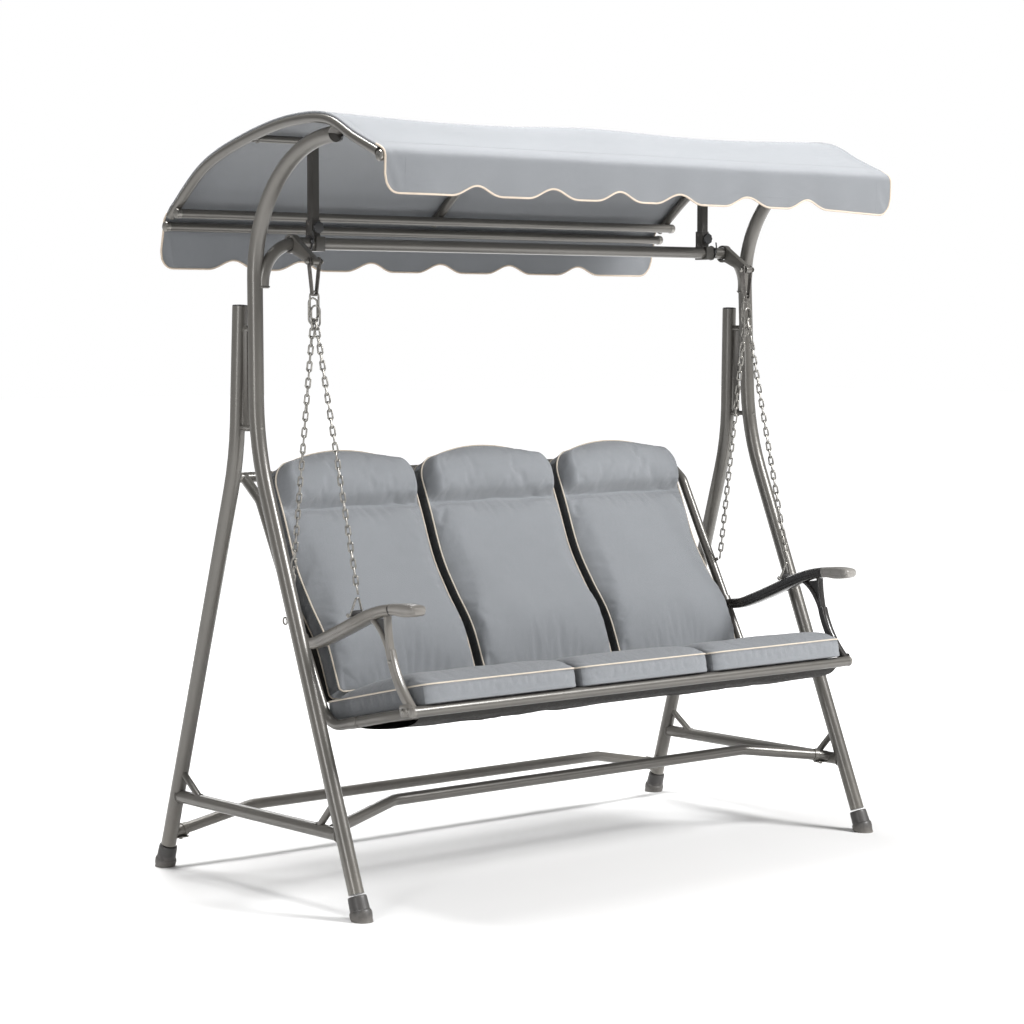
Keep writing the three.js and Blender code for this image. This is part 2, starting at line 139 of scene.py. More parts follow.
def spaced(line, count):
    run = np.concatenate([[0], np.cumsum(np.linalg.norm(np.diff(line, axis=0), axis=1))])
    at = np.linspace(0, run[-1], count)
    return np.stack([np.interp(at, run, line[:, k]) for k in range(line.shape[1])], 1)


def unit_rows(vectors):
    return vectors / np.linalg.norm(vectors, axis=-1)[..., None]


def tangents(line):
    return unit_rows(np.gradient(line, axis=0))


def at_x(x, line):
    """A line of (y, z) points, set at x."""
    return np.column_stack([np.full(len(line), x), line])


def ring_faces(rings, count, closed=False):
    """Faces between rings of count points each. An open run has its two end rings filled."""
    faces = [(i * count + j, i * count + (j + 1) % count,
              (i + 1) % rings * count + (j + 1) % count, (i + 1) % rings * count + j)
             for i in range(rings if closed else rings - 1) for j in range(count)]
    if not closed:
        faces += [tuple(range(count))[::-1], tuple(range((rings - 1) * count, rings * count))]
    return faces


def grid_quads(rows, columns):
    return [(r * columns + k, r * columns + k + 1, (r + 1) * columns + k + 1, (r + 1) * columns + k)
            for r in range(rows - 1) for k in range(columns - 1)]


def grid_rim(rows, columns):
    """Indices of a grid's points, once round its edge."""
    last = (rows - 1) * columns
    return [*range(columns), *range(2 * columns - 1, last + columns, columns),
            *range(last + columns - 2, last - 1, -1), *range(last - columns, 0, -columns)]


def two_sided(upper, lower):
    """A thin sheet between two grids of points, closed round its rim."""
    rows, columns = upper.shape[:2]
    size = rows * columns
    quads, rim = grid_quads(rows, columns), grid_rim(rows, columns)
    skirt = [(a, b, b + size, a + size) for a, b in zip(rim, rim[1:] + rim[:1])]
    points = np.concatenate([upper.reshape(-1, 3), lower.reshape(-1, 3)])
    return points, quads + [tuple(i + size for i in q[::-1]) for q in quads] + skirt


def sweep(points, section, up=None, closed=False, scale=None):
    """The section carried along the points. up fixes its first axis; scale is per point."""
    p = np.asarray(points, float)
    if closed:
        t = unit_rows(np.roll(p, -1, 0) - np.roll(p, 1, 0))
    else:
        t = tangents(p)
    first = np.asarray(up if up is not None else ((0, 0, 1) if abs(t[0][2]) < 0.9 else (1, 0, 0)), float)
    n = np.zeros_like(p)
    for i in range(len(p)):
        base = first if up is not None or i == 0 else n[i - 1]
        n[i] = unit(base - (base @ t[i]) * t[i])
    b = np.cross(t, n)
    size = np.ones((len(p), 2))
    if scale is not None:
        size *= np.asarray(scale, float).reshape(len(p), -1)
    ring = p[:, None] + (n[:, None] * (section[:, 0] * size[:, :1])[..., None]
                         + b[:, None] * (section[:, 1] * size[:, 1:])[..., None])
    return ring.reshape(-1, 3), ring_faces(len(p), len(section), closed)


def tube(corners, radius, bends=(), count=32):
    return sweep(bent(corners, bends), circle(radius, count))


def basis(axis):
    a = unit(axis)
    n = unit(np.cross(a, (0, 0, 1) if abs(a[2]) < 0.9 else (1, 0, 0)))
    return a, n, np.cross(a, n)


def lathe(profile, origin, axis, count=36, lobes=0, depth=0):
    """Profile of (radius, height) turned about an axis; lobes give a knob its finger grips."""
    a, n, b = basis(axis)
    angle = np.arange(count) * 2 * math.pi / count
    grip = 1 - depth * (0.5 - 0.5 * np.cos(lobes * angle)) if lobes else np.ones(count)
    verts = [origin + a * h + r * g * (n * math.cos(w) + b * math.sin(w))
             for r, h in profile for w, g in zip(angle, grip)]
    return np.array(verts), ring_faces(len(profile), count)


def plate(outline, origin, across, upward, thick, edge=1.0):
    """A flat plate with rolled edges. Its outline lies along across and upward."""
    across, upward = unit(across), unit(upward)
    out = np.cross(across, upward)
    o = np.asarray(outline, float)
    middle = o.mean(0)
    inset = o + (middle - o) * (edge / np.linalg.norm(middle - o, axis=1))[:, None]
    layers = ((inset, -thick / 2), (o, -thick / 2 + edge), (o, thick / 2 - edge), (inset, thick / 2))
    verts = [origin + across * u + upward * v + out * h for ring, h in layers for u, v in ring]
    return np.array(verts), ring_faces(len(layers), len(o))


class Build:
    """Forms gathered into one piece."""

    def __init__(self):
        self.verts, self.faces, self.slots, self.count = [], [], [], 0

    def add(self, form, slot=0):
        verts, faces = form
        self.verts.append(np.asarray(verts, float))
        self.faces += [tuple(i + self.count for i in f) for f in faces]
        self.slots += [slot] * len(faces)
        self.count += len(verts)
        return self

    def bolt(self, at, axis, radius=5.0, slot=0):
        """Washer, hexagon head and its domed top."""
        at = np.asarray(at, float)
        self.add(lathe([(radius * 1.5, 0), (radius * 1.5, 1.0), (radius * 1.35, 1.4)], at, axis, 24), slot)
        head = [(radius, 1.3), (radius, radius * 0.85), (radius * 0.82, radius * 1.05),
                (radius * 0.3, radius * 1.1)]
        return self.add(lathe(head, at, axis, 6), slot)

    def bead(self, centre, axis, radius, wire=2.6, slot=0):
        """A weld bead round a tube."""
        a, n, b = basis(axis)
        turn = np.arange(40) * 2 * math.pi / 40
        wave = radius + 0.45 * np.sin(turn * 13) + 0.3 * np.sin(turn * 7 + 1)
        ring = [centre + r * (n * math.cos(w) + b * math.sin(w)) for w, r in zip(turn, wave)]
        return self.add(sweep(ring, circle(wire, 8), closed=True), slot)

    def piece(self, name, body, materials, slot, replaces=(), sharp=38):
        mesh = bpy.data.meshes.new(name)
        mesh.from_pydata(((np.concatenate(self.verts) + (0, ORIGIN_SHIFT, 0)) * MM).tolist(), [], self.faces)
        for material in materials:
            mesh.materials.append(material)
        mesh.polygons.foreach_set("material_index", self.slots)
        return dress(bpy.data.objects.new(name, mesh), body, replaces, sharp)


def dress(obj, body, replaces=(), sharp=38):
    """Links a new mesh object, turns its faces out, smooths it and puts it on its body."""
    bpy.context.scene.collection.objects.link(obj)
    mesh = obj.data
    work = bmesh.new()
    work.from_mesh(mesh)
    bmesh.ops.recalc_face_normals(work, faces=work.faces)
    work.to_mesh(mesh)
    work.free()
    mesh.polygons.foreach_set("use_smooth", [True] * len(mesh.polygons))
    mesh.set_sharp_from_angle(angle=math.radians(sharp))
    mesh.update()
    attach(obj, body)
    if replaces:
        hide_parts(*replaces)
    return obj


def refined(node, material, width=1.2):
    """A CAD node again with rolled edges, for plates and brackets."""
    source = frame["nodes"][node]
    work = bmesh.new()
    work.from_mesh(source.data)
    bmesh.ops.remove_doubles(work, verts=work.verts, dist=2e-5)
    bmesh.ops.dissolve_limit(work, angle_limit=math.radians(2), verts=work.verts, edges=work.edges)
    sharp = [e for e in work.edges if len(e.link_faces) == 2 and e.calc_face_angle() > math.radians(32)]
    bmesh.ops.bevel(work, geom=sharp, offset=width * MM, segments=2, profile=0.6, affect="EDGES",
                    clamp_overlap=True)
    bmesh.ops.triangulate(work, faces=[f for f in work.faces if len(f.verts) > 4])
    mesh = bpy.data.meshes.new(f"{node}_refined")
    work.to_mesh(mesh)
    work.free()
    mesh.materials.append(material)
    obj = bpy.data.objects.new(f"{node}_refined", mesh)
    return dress(obj, source["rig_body"], (node,), 30)


# ---- materials --------------------------------------------------------------------------
class Finish:
    """A procedural material. Textures read the object's own coordinates, in metres."""

    def __init__(self, name, **uniform):
        self.material = bpy.data.materials.new(name)
        self.material.use_nodes = True
        self.tree = self.material.node_tree
        self.shader = self.tree.nodes["Principled BSDF"]
        for socket, value in uniform.items():
            self.shader.inputs[socket.replace("_", " ")].default_value = value
        self.coords = self.tree.nodes.new("ShaderNodeTexCoord")
        self.place = self.coords.outputs["Object"]

    def add(self, kind, inputs, out=0, **settings):
        node = self.tree.nodes.new(kind)
        for key, value in settings.items():
            setattr(node, key, value)
        for key, value in inputs.items():
            if isinstance(value, bpy.types.NodeSocket):
                self.tree.links.new(value, node.inputs[key])
            else:
                node.inputs[key].default_value = value
        return node.outputs[out]

    def maths(self, operation, a, b=0.0, c=0.0):
        return self.add("ShaderNodeMath", {0: a, 1: b, 2: c}, operation=operation)

    def noise(self, scale, detail=3.0, rough=0.5, place=None):
        return self.add("ShaderNodeTexNoise", {"Vector": place or self.place, "Scale": scale,
                                               "Detail": detail, "Roughness": rough})

    def stretch(self, scale, place=None):
        return self.add("ShaderNodeVectorMath", {0: place or self.place, 1: scale}, operation="MULTIPLY")

    def ramp(self, factor, low, high, start=0.3, end=0.7):
        node = self.tree.nodes.new("ShaderNodeValToRGB")
        self.tree.links.new(factor, node.inputs[0])
        for stop, (at, value) in zip(node.color_ramp.elements, ((start, low), (end, high))):
            stop.position = at
            stop.color = (*value, 1) if hasattr(value, "__len__") else (value, value, value, 1)
        return node.outputs[0]

    def mix(self, factor, a, b, blend="MIX"):
        return self.add("ShaderNodeMix", {0: factor, 6: a, 7: b}, out=2, data_type="RGBA", blend_type=blend)

    def drive(self, socket, value):
        self.tree.links.new(value, self.shader.inputs[socket])

    def rough(self, factor, low, high):
        self.drive("Roughness", self.add("ShaderNodeMapRange", {0: factor, 3: low, 4: high}))

    def bump(self, height, distance, strength=1.0):
        self.drive("Normal", self.add("ShaderNodeBump", {"Height": height, "Distance": distance,
                                                         "Strength": strength}))

    def split(self, vector):
        return self.add("ShaderNodeSeparateXYZ", {0: vector}).node.outputs

    def dust(self, colour, tone, amount, full, clear, scale, ragged):
        """Dust near the floor: whole up to full, gone above clear, with a ragged edge."""
        edge = self.maths("MULTIPLY", self.noise(scale, 4), ragged)
        height = self.maths("ADD", self.split(self.place)[2], edge)
        share = self.maths("MULTIPLY", self.ramp(height, 1.0, 0.0, full, clear), amount)
        return self.mix(share, colour, (*tone, 1))


def shade(tone, amount):
    return tuple(min(1.0, c * amount) for c in tone)


SEAT_TILT, BACK_TILT = -12.3, 62.2    # degrees between a cushion's cloth and the floor


def powder_coat(name, tone, roughness=0.31, metallic=0.3, dusty=False):
    """Satin powder coat: slight mottle, fine orange peel, rubbed and dusty patches."""
    f = Finish(name, Metallic=metallic, Coat_Weight=0.3, Coat_Roughness=0.2)
    mottle = f.noise(9, 5, 0.6)
    colour = f.ramp(mottle, shade(tone, 0.93), shade(tone, 1.06))
    specks = f.ramp(f.noise(420, 2), 0.0, 1.0, 0.68, 0.74)
    colour = f.mix(f.maths("MULTIPLY", specks, 0.25), colour, (*shade(tone, 1.5), 1))
    if dusty:
        colour = f.dust(colour, (0.42, 0.39, 0.34), 0.22, 0.08, 0.26, 30, 0.12)
    f.drive("Base Color", colour)
    f.rough(f.noise(38, 5, 0.65), roughness - 0.07, roughness + 0.1)
    f.bump(f.maths("ADD", f.noise(1500, 2), f.maths("MULTIPLY", f.noise(260, 2), 0.7)), 0.00012, 0.5)
    return f.material


def woven(name, tone, tilt=0.0, pitch=1.5, streak=0.07, weave=0.00022, roughness=0.9):
    """Plain weave in the plane of the cloth: threads both ways, slubs, soft mottle."""
    f = Finish(name, Sheen_Weight=0.22, Sheen_Roughness=0.45, Specular_IOR_Level=0.25)
    turn = (math.radians(-tilt), 0.0, 0.0)
    place = f.add("ShaderNodeMapping", {"Vector": f.place, "Rotation": turn}, vector_type="POINT")
    normal = f.add("ShaderNodeMapping", {"Vector": f.coords.outputs["Normal"], "Rotation": turn},
                   vector_type="NORMAL")
    x, y, z = f.split(place)
    facing = f.split(normal)
    on_side = f.maths("GREATER_THAN", f.maths("ABSOLUTE", facing[0]), 0.66)
    on_front = f.maths("GREATER_THAN", f.maths("ABSOLUTE", facing[1]), 0.7)
    across = f.add("ShaderNodeMix", {0: on_side, 2: x, 3: y})
    along = f.add("ShaderNodeMix", {0: f.maths("MAXIMUM", on_side, on_front), 2: y, 3: z})
    turns = 2 * math.pi / (pitch * MM)
    warp = f.maths("SINE", f.maths("MULTIPLY", across, turns))
    weft = f.maths("SINE", f.maths("MULTIPLY", along, turns))
    checks = f.maths("MULTIPLY", warp, weft)
    flat = f.add("ShaderNodeCombineXYZ", {0: across, 1: along})
    slub_up = f.noise(1.0, 3, 0.6, f.stretch((620, 26, 1), flat))
    slub_across = f.noise(1.0, 3, 0.6, f.stretch((22, 560, 1), flat))
    slubs = f.maths("ADD", f.maths("MULTIPLY", slub_up, 0.6), f.maths("MULTIPLY", slub_across, 0.4))
    colour = f.ramp(slubs, shade(tone, 1 - streak), shade(tone, 1 + streak), 0.34, 0.66)
    soft = f.ramp(f.noise(5, 3), 0.94, 1.0, 0.3, 0.7)
    colour = f.mix(1.0, colour, soft, "MULTIPLY")
    threads = f.ramp(f.maths("MULTIPLY_ADD", checks, 0.5, 0.5), 0.9, 1.0, 0.2, 0.8)
    f.drive("Base Color", f.mix(1.0, colour, threads, "MULTIPLY"))
    f.rough(slubs, roughness - 0.08, roughness + 0.06)
    f.bump(f.maths("ADD", checks, f.maths("MULTIPLY", slubs, 2.2)), weave)
    return f.material


def piping_cord(name, tone):
    """Bias-cut tape over cord: a fine twill and small soiled patches."""
    f = Finish(name, Sheen_Weight=0.15, Roughness=0.8, Specular_IOR_Level=0.25)
    twill = f.add("ShaderNodeTexWave", {"Vector": f.place, "Scale": 330, "Distortion": 1.0},
                  out=1, bands_direction="DIAGONAL")
    colour = f.ramp(f.noise(70, 4, 0.6), shade(tone, 0.86), tone)
    f.drive("Base Color", f.mix(f.maths("MULTIPLY", twill, 0.16), colour, (*shade(tone, 0.7), 1)))
    f.bump(f.maths("ADD", twill, f.noise(900, 2)), 0.0002, 0.7)
    return f.material


NET_PITCH = 3.2


def mesh_sling(name, tone):
    """Coarse coated net. Its holes are painted darker, as painted shade seen through the openings."""
    f = Finish(name, Specular_IOR_Level=0.3)
    x, y, z = f.split(f.place)
    turns = 2 * math.pi / (NET_PITCH * MM)
    cells = f.maths("MULTIPLY", f.maths("SINE", f.maths("MULTIPLY", x, turns)),
                    f.maths("SINE", f.maths("MULTIPLY", f.maths("ADD", y, z), turns)))
    patch = f.ramp(f.noise(25, 4), shade(tone, 0.7), shade(tone, 1.35))
    # The weave's holes are darkened: painted shade standing in for the openings.
    shaded_holes = f.ramp(f.maths("MULTIPLY_ADD", cells, 0.5, 0.5), 0.35, 1.0, 0.25, 0.6)
    f.drive("Base Color", f.mix(1.0, patch, shaded_holes, "MULTIPLY"))
    f.rough(f.noise(60), 0.5, 0.75)
    f.bump(cells, 0.0005, 0.8)
    return f.material


def moulded(name, tone, roughness=0.32, grain=0.00008, coat=0.2, dusty=False):
    """Moulded plastic or rubber: fine spark-eroded grain with worn patches."""
    f = Finish(name, Coat_Weight=coat, Coat_Roughness=0.2)
    colour = f.ramp(f.noise(16, 5, 0.6), shade(tone, 0.9), shade(tone, 1.12))
    if dusty:
        colour = f.dust(colour, (0.3, 0.28, 0.25), 0.4, 0.012, 0.045, 90, 0.03)
    f.drive("Base Color", colour)
    f.rough(f.noise(45, 5, 0.6), roughness - 0.06, roughness + 0.12)
    f.bump(f.noise(1400, 3, 0.6), grain, 0.8)
    return f.material


def zinc(name, tone, roughness=0.3):
    """Zinc plate: spangled tone, darker where it is handled and rubs."""
    f = Finish(name, Metallic=0.9)
    spangle = f.add("ShaderNodeTexVoronoi", {"Vector": f.place, "Scale": 240}, out=1)
    grey = f.add("ShaderNodeRGBToBW", {0: spangle})
    colour = f.ramp(grey, shade(tone, 0.82), shade(tone, 1.12), 0.2, 0.8)
    rubbed = f.ramp(f.noise(85, 5, 0.65), 1.0, 0.0, 0.36, 0.52)
    f.drive("Base Color", f.mix(f.maths("MULTIPLY", rubbed, 0.55), colour, (*shade(tone, 0.35), 1)))
    f.rough(f.noise(130, 4), roughness - 0.08, roughness + 0.2)
    f.bump(f.noise(600, 3), 0.0001, 0.6)
    return f.material


TAUPE = (0.103, 0.097, 0.087)
CLOTH = (0.222, 0.233, 0.247)
frame_paint = powder_coat("frame_paint", TAUPE, dusty=True)
post_paint = powder_coat("post_paint", shade(TAUPE, 0.55))
bench_paint = powder_coat("bench_paint", TAUPE)
canopy_paint = powder_coat("canopy_paint", shade(TAUPE, 0.95), 0.3, 0.45)
foot_rubber = moulded("foot_rubber", (0.048, 0.045, 0.043), 0.5, 0.00015, 0.1, dusty=True)
knob_plastic = moulded("knob_plastic", (0.016, 0.016, 0.017), 0.4)
arm_taupe = moulded("arm_taupe", (0.128, 0.119, 0.106), 0.27, coat=0.35)
# Copies of the armrest plastic for the right side: a near-black one as painted shade, and a lighter cap as a
# painted highlight.
arm_dark_painted_shade = moulded("arm_dark_painted_shade", (0.022, 0.020, 0.019), 0.24, coat=0.4)
arm_cap_painted_highlight = moulded("arm_cap_painted_highlight", (0.22, 0.21, 0.195), 0.26, coat=0.3)
arm_cap_taupe = moulded("arm_cap_taupe", (0.150, 0.140, 0.126), 0.3, coat=0.3)
seam_dark = moulded("seam_dark", (0.020, 0.019, 0.019), 0.6)
seat_cloth = woven("seat_cloth", CLOTH, SEAT_TILT)
back_cloth = woven("back_cloth", CLOTH, BACK_TILT)
# The wall cloths are the cushion cloth made darker. This is painted shade on the cushions' end walls and
# undersides, where shadow falls in the joints between cushions.
seat_wall_painted_shade = woven("seat_wall_painted_shade", shade(CLOTH, 0.62), SEAT_TILT, streak=0.12)
back_wall_painted_shade = woven("back_wall_painted_shade", shade(CLOTH, 0.3), BACK_TILT, streak=0.12)
roof_cloth = woven("roof_cloth", shade(CLOTH, 0.8), streak=0.06)
cushion_thread = woven("cushion_thread", shade(CLOTH, 0.8), pitch=0.8)
cream_piping = piping_cord("cream_piping", (0.56, 0.50, 0.42))
tan_piping = piping_cord("tan_piping", (0.50, 0.42, 0.34))
sling_net = mesh_sling("sling_net", (0.022, 0.020, 0.018))
zinc_steel = zinc("zinc_steel", (0.27, 0.26, 0.24), 0.26)
dark_steel = zinc("dark_steel", (0.16, 0.15, 0.14), 0.38)

# ---- frame ------------------------------------------------------------------------------
FOOT_X, FOOT_Y, LEG_LEAN, LEG_R, CAP_HEIGHT = 900, 441, 0.0138, 20, 62
FRONT_LEG = ((-FOOT_Y, 0), (18, 1140), (40, 1915), (-290, 1915))      # corners as (y, z)
REAR_LEG = ((FOOT_Y, 0), (108, 1110), (96, 1500))
LEG_BENDS = {"front": (700, 338), "rear": (700,)}
BAR_Z, BAR_R, BRACE_R = 199, 17, 9
STRETCHER_R, STRETCHER_BEND = 15, 70
CROSS_Y, CROSS_Z, CROSS_R, CROSS_BEND = 13, 1660, 16, 100
CROSS_END = (861, 21, 1545)
POST_X, POST_Y = 698, 26


def on_leg(side, y, z):
    return vec(side * (FOOT_X - LEG_LEAN * z), y, z)


def leg_line(side, line):
    (y0, _), (y1, z1) = line[:2]
    rise = CAP_HEIGHT / z1
    return [on_leg(side, y0 + (y1 - y0) * rise, CAP_HEIGHT), *(on_leg(side, y, z) for y, z in line[1:])]


def foot_cap(side, line):
    """Tapered rubber cap, cut flat at the floor, with a rim."""
    foot, knee = on_leg(side, *line[0]), on_leg(side, *line[1])
    profile = [(20.5, -30), (25, -30), (26.4, 3), (27.8, 9), (28.4, 14), (28.4, 19), (27.9, 23), (26.6, 25.5),
               (25.4, 26.5), (25.1, 30), (24.6, 44), (24.2, 56), (23.6, 60.5), (22.4, 62), (20.6, 62)]
    verts, faces = lathe(profile, foot, knee - foot, 48)
    work = bmesh.new()
    made = [work.verts.new(p) for p in verts]
    for f in faces:
        work.faces.new([made[i] for i in f])
    cut = bmesh.ops.bisect_plane(work, geom=work.verts[:] + work.edges[:] + work.faces[:], plane_co=(0, 0, 0),
                                 plane_no=(0, 0, 1), clear_inner=True, dist=1e-4)
    rim = [e for e in cut["geom_cut"] if isinstance(e, bmesh.types.BMEdge)]
    bmesh.ops.edgeloop_fill(work, edges=rim)
    work.verts.index_update()
    out = (np.array([v.co[:] for v in work.verts]), [tuple(v.index for v in f.verts) for f in work.faces])
    work.free()
    return out


for word, side in SIDES:
    for end, line in (("front", FRONT_LEG), ("rear", REAR_LEG)):
        leg = Build().add(tube(leg_line(side, line), LEG_R, LEG_BENDS[end], 40))
        tip, before = on_leg(side, *line[-1]), on_leg(side, *line[-2])
        plug = [(18.5, -6), (18.5, 0), (19.6, 0.2), (19.6, 1.4), (18.2, 2.6), (10, 3.4), (2, 3.6)]
        leg.add(lathe(plug, tip, tip - before, 36), 1)
        leg.piece(f"{word}_{end}_leg_tube", "frame", [frame_paint, seam_dark], "frame_paint",
                  (f"{word}_{end}_leg",))
        Build().add(foot_cap(side, line)).piece(
            f"{word}_{end}_foot_cap", "frame", [foot_rubber], "foot_rubber", (f"{word}_{end}_foot",))

    x = side * (FOOT_X - LEG_LEAN * BAR_Z)
    bar = Build().add(tube([vec(x, -355, BAR_Z), vec(x, 376, BAR_Z)], BAR_R))
    for y, leg_y, leg_z, mid_y in ((-355, -332, 285, -252), (376, 363, 272, 262)):
        start, foot = on_leg(side, leg_y, leg_z), vec(x, mid_y, BAR_Z)
        aim = unit(foot - start)
        bar.add(tube([start + aim * 16, foot], BRACE_R, count=24))
        bar.bead(start + aim * 19, aim, BRACE_R + 0.5, 2.2).bead(foot - aim * 15, aim, BRACE_R + 1.5, 2.2)
        inwards = -1 if y > 0 else 1
        bar.bead(vec(x, y + inwards * 9, BAR_Z), (0, 1, 0), BAR_R + 0.5, 3.2)
    bar.piece(f"{word}_side_bar_tube", "frame", [frame_paint], "frame_paint", (f"{word}_side_bar",))
    refined(f"{word}_leg_joint", frame_paint, 0.8)
    joint = Build()
    for z, y_front, y_rear in ((1190, 0, 122), (1440, 16, 116)):
        joint.bolt(on_leg(side, y_rear, z), (0, 1, 0)).bolt(on_leg(side, y_front, z), (0, -1, 0))
    joint.piece(f"{word}_leg_joint_bolts", "frame", [zinc_steel], "bright_steel")


def mirrored(end, knee):
    """Corners of a tube that runs from side to side with a bend near each end."""
    flip = vec(-1, 1, 1)
    return [end * flip, knee * flip, knee, end]


for word, end, knee, tab in (("front", vec(886, -306, 205), vec(632, -219, 238), vec(868, -300, 190)),
                             ("rear", vec(890, 417, 92), vec(636, 410, 141), vec(866, 413, 80))):
    made = Build().add(tube(mirrored(end, knee), STRETCHER_R, (STRETCHER_BEND, STRETCHER_BEND)))
    for sign in (-1, 1):
        flip = vec(sign, 1, 1)
        sleeve = [(16.2, -44), (17.6, -43), (17.6, -31), (16.2, -30)]
        made.add(lathe(sleeve, end * flip, (end - knee) * flip, 36))
        made.add(plate(rounded_box(40, 26, 6), tab * flip, (1, 0, 0), (0, 1, 0), 4))
        made.bolt(tab * flip - vec(0, 0, 2), (0, 0, -1), slot=1)
    made.piece(f"{word}_stretcher_tube", "frame", [frame_paint, zinc_steel], "frame_paint",
               (f"{word}_stretcher",))

cross_corners = mirrored(vec(*CROSS_END), vec(CROSS_END[0], CROSS_Y, CROSS_Z))
crossbar = Build().add(tube(cross_corners, CROSS_R, (CROSS_BEND, CROSS_BEND), 36))
for sign in (-1, 1):
    crossbar.bead(vec(*CROSS_END) * (sign, 1, 1) + (0, 0, 4), (0, 0.1, -1), CROSS_R + 0.2, 2.4)
crossbar.piece("crossbar_tube", "frame", [frame_paint], "frame_paint", ("crossbar",))

for word, side in SIDES:
    x = side * POST_X
    refined(f"{word}_post", post_paint, 2.2)
    trim = Build()
    for z in (1684, 1714):
        for sign in (-1, 1):
            trim.bolt(vec(x + sign * 13, POST_Y + 2, z), (sign, 0, 0), 3.4)
    trim.piece(f"{word}_post_bolts", "frame", [dark_steel], "bright_steel")
    # Strap round the crossbar beside the post, with its lock and tail.
    at = x + (22 if side > 0 else -26)
    band = at_x(at, circle(CROSS_R + 1.6, 40) + (CROSS_Y, CROSS_Z))
    strap = Build().add(sweep(band, rounded_box(2.4, 7, 1), closed=True))
    strap.add(plate(rounded_box(10, 9, 2), vec(at, -5.5, 1664), (0, 0, 1), (1, 0, 0), 6))
    tail = [vec(at, -8, 1668), vec(at, -10, 1678), vec(at - 3, -11, 1690)]
    strap.add(sweep(tail, rounded_box(1.6, 5, 0.7)))
    strap.piece(f"{word}_post_strap", "frame", [knob_plastic], "knob_plastic")
    knob = [(8.6, 7.5), (8.8, 0), (9.2, -1), (15.6, -1.5), (16.2, -2.5), (16.2, -5.2), (15.2, -6.6),
            (9, -7.3), (2, -7.4)]
    Build().add(lathe(knob, vec(x, 6.6, 1701), (0, 1, 0), 72, 9, 0.09)).piece(
        f"{word}_post_knob_grip", f"{word}_post_knob", [knob_plastic], "knob_plastic", (f"{word}_post_knob",))
    refined(f"{word}_hanger_bracket", frame_paint, 1.2)

# ---- canopy -----------------------------------------------------------------------------
RIB_X, RIB_R = 884, 12.5
RIB_LINE = ((-497, 1863), (-401, 1903), (-299, 1950), (-152, 1956), (42, 1924), (246, 1857), (408, 1738))
FRONT_BAR, REAR_UPPER_BAR, REAR_LOWER_BAR = (-512, 1853), (362, 1743.5), (416, 1710.5)
TILT_Y, TILT_Z = -272, 1913
STUB_Z, STUB_R = 1922, 10

rib_line = smooth_line(RIB_LINE, 60)
for word, x in (("left", -RIB_X), ("middle", 0), ("right", RIB_X)):
    rib = Build().add(sweep(at_x(x, rib_line), circle(RIB_R, 28), up=(1, 0, 0)))
    if x:
        side = math.copysign(1, x)
        rib.add(tube([vec(x, POST_Y, STUB_Z), vec(side * (POST_X - 16), POST_Y, STUB_Z)], STUB_R, count=24))
        rib.bead(vec(side * (RIB_X - 13), POST_Y, STUB_Z), (1, 0, 0), STUB_R + 0.5, 2.4)
        sleeve = [(13.2, -7), (14.2, -6), (14.2, 6), (13.2, 7)]
        rib.add(lathe(sleeve, vec(side * POST_X, POST_Y, STUB_Z), (1, 0, 0), 28), 1)
    rib.piece(f"{word}_rib_tube", "canopy", [canopy_paint, knob_plastic], "frame_paint", (f"{word}_rib",))
for name, (y, z), half in (("front_bar", FRONT_BAR, 893), ("rear_upper_bar", REAR_UPPER_BAR, 894),
                           ("rear_lower_bar", REAR_LOWER_BAR, 894)):
    bar = Build().add(tube([vec(-half, y, z), vec(half, y, z)], RIB_R, count=28))
    for sign in (-1, 1):
        end = [(11.6, -9), (13.6, -8), (13.6, 2), (12.6, 4), (8, 5), (2, 5.2)]
        bar.add(lathe(end, vec(sign * half, y, z), (sign, 0, 0), 28), 1)
    bar.piece(f"{name}_tube", "canopy", [canopy_paint, zinc_steel], "frame_paint", (name,))

for word, side in SIDES:
    refined(f"{word}_tilt_ear", zinc_steel, 0.8)
    grip = [(7.8, -10.3), (8, -6), (12.6, -5.6), (13, -4.6), (13, 4.8), (12.2, 6), (6, 6.3), (1, 6.4)]
    Build().add(lathe(grip, vec(side * 836, TILT_Y, TILT_Z), (-side, 0, 0), 64, 8, 0.12)).piece(
        f"{word}_tilt_knob_grip", f"{word}_tilt_knob", [knob_plastic], "knob_plastic", (f"{word}_tilt_knob",))

# The cloth is one sheet: front valance, roof over the ribs, rear valance.
CLOTH_HALF, CLOTH_THICK = 889, 1.4
CLOTH_LIFT = RIB_R + 1.2 + 1.5
FRONT_PEAKS = (-604, -357, -136, 79, 325, 560)
REAR_PEAKS = (-655, -430, -191, 64, 320, 595)
SCALLOP_RISE, SCALLOP_HALF, END_ROUND = 25, 88, 46
HEM_DIP = 8                    # how far the front hem drops towards its right end
SAG = 13


def offset_line(line, distance):
    t = tangents(line)
    return line + distance * np.column_stack([-t[:, 1], t[:, 0]])


def scallops(x, peaks):
    """How far the hem stands above its lowest line at x."""
    rise = np.zeros_like(x)
    for peak in peaks:
        d = np.minimum(np.abs(x - peak), SCALLOP_HALF) / SCALLOP_HALF
        rise = np.maximum(rise, SCALLOP_RISE * (0.5 + 0.5 * np.cos(np.pi * d)) ** 1.25)
    over = np.clip(np.abs(x) - (CLOTH_HALF - END_ROUND), 0, END_ROUND)
    return np.maximum(rise, END_ROUND - np.sqrt(END_ROUND**2 - over**2))


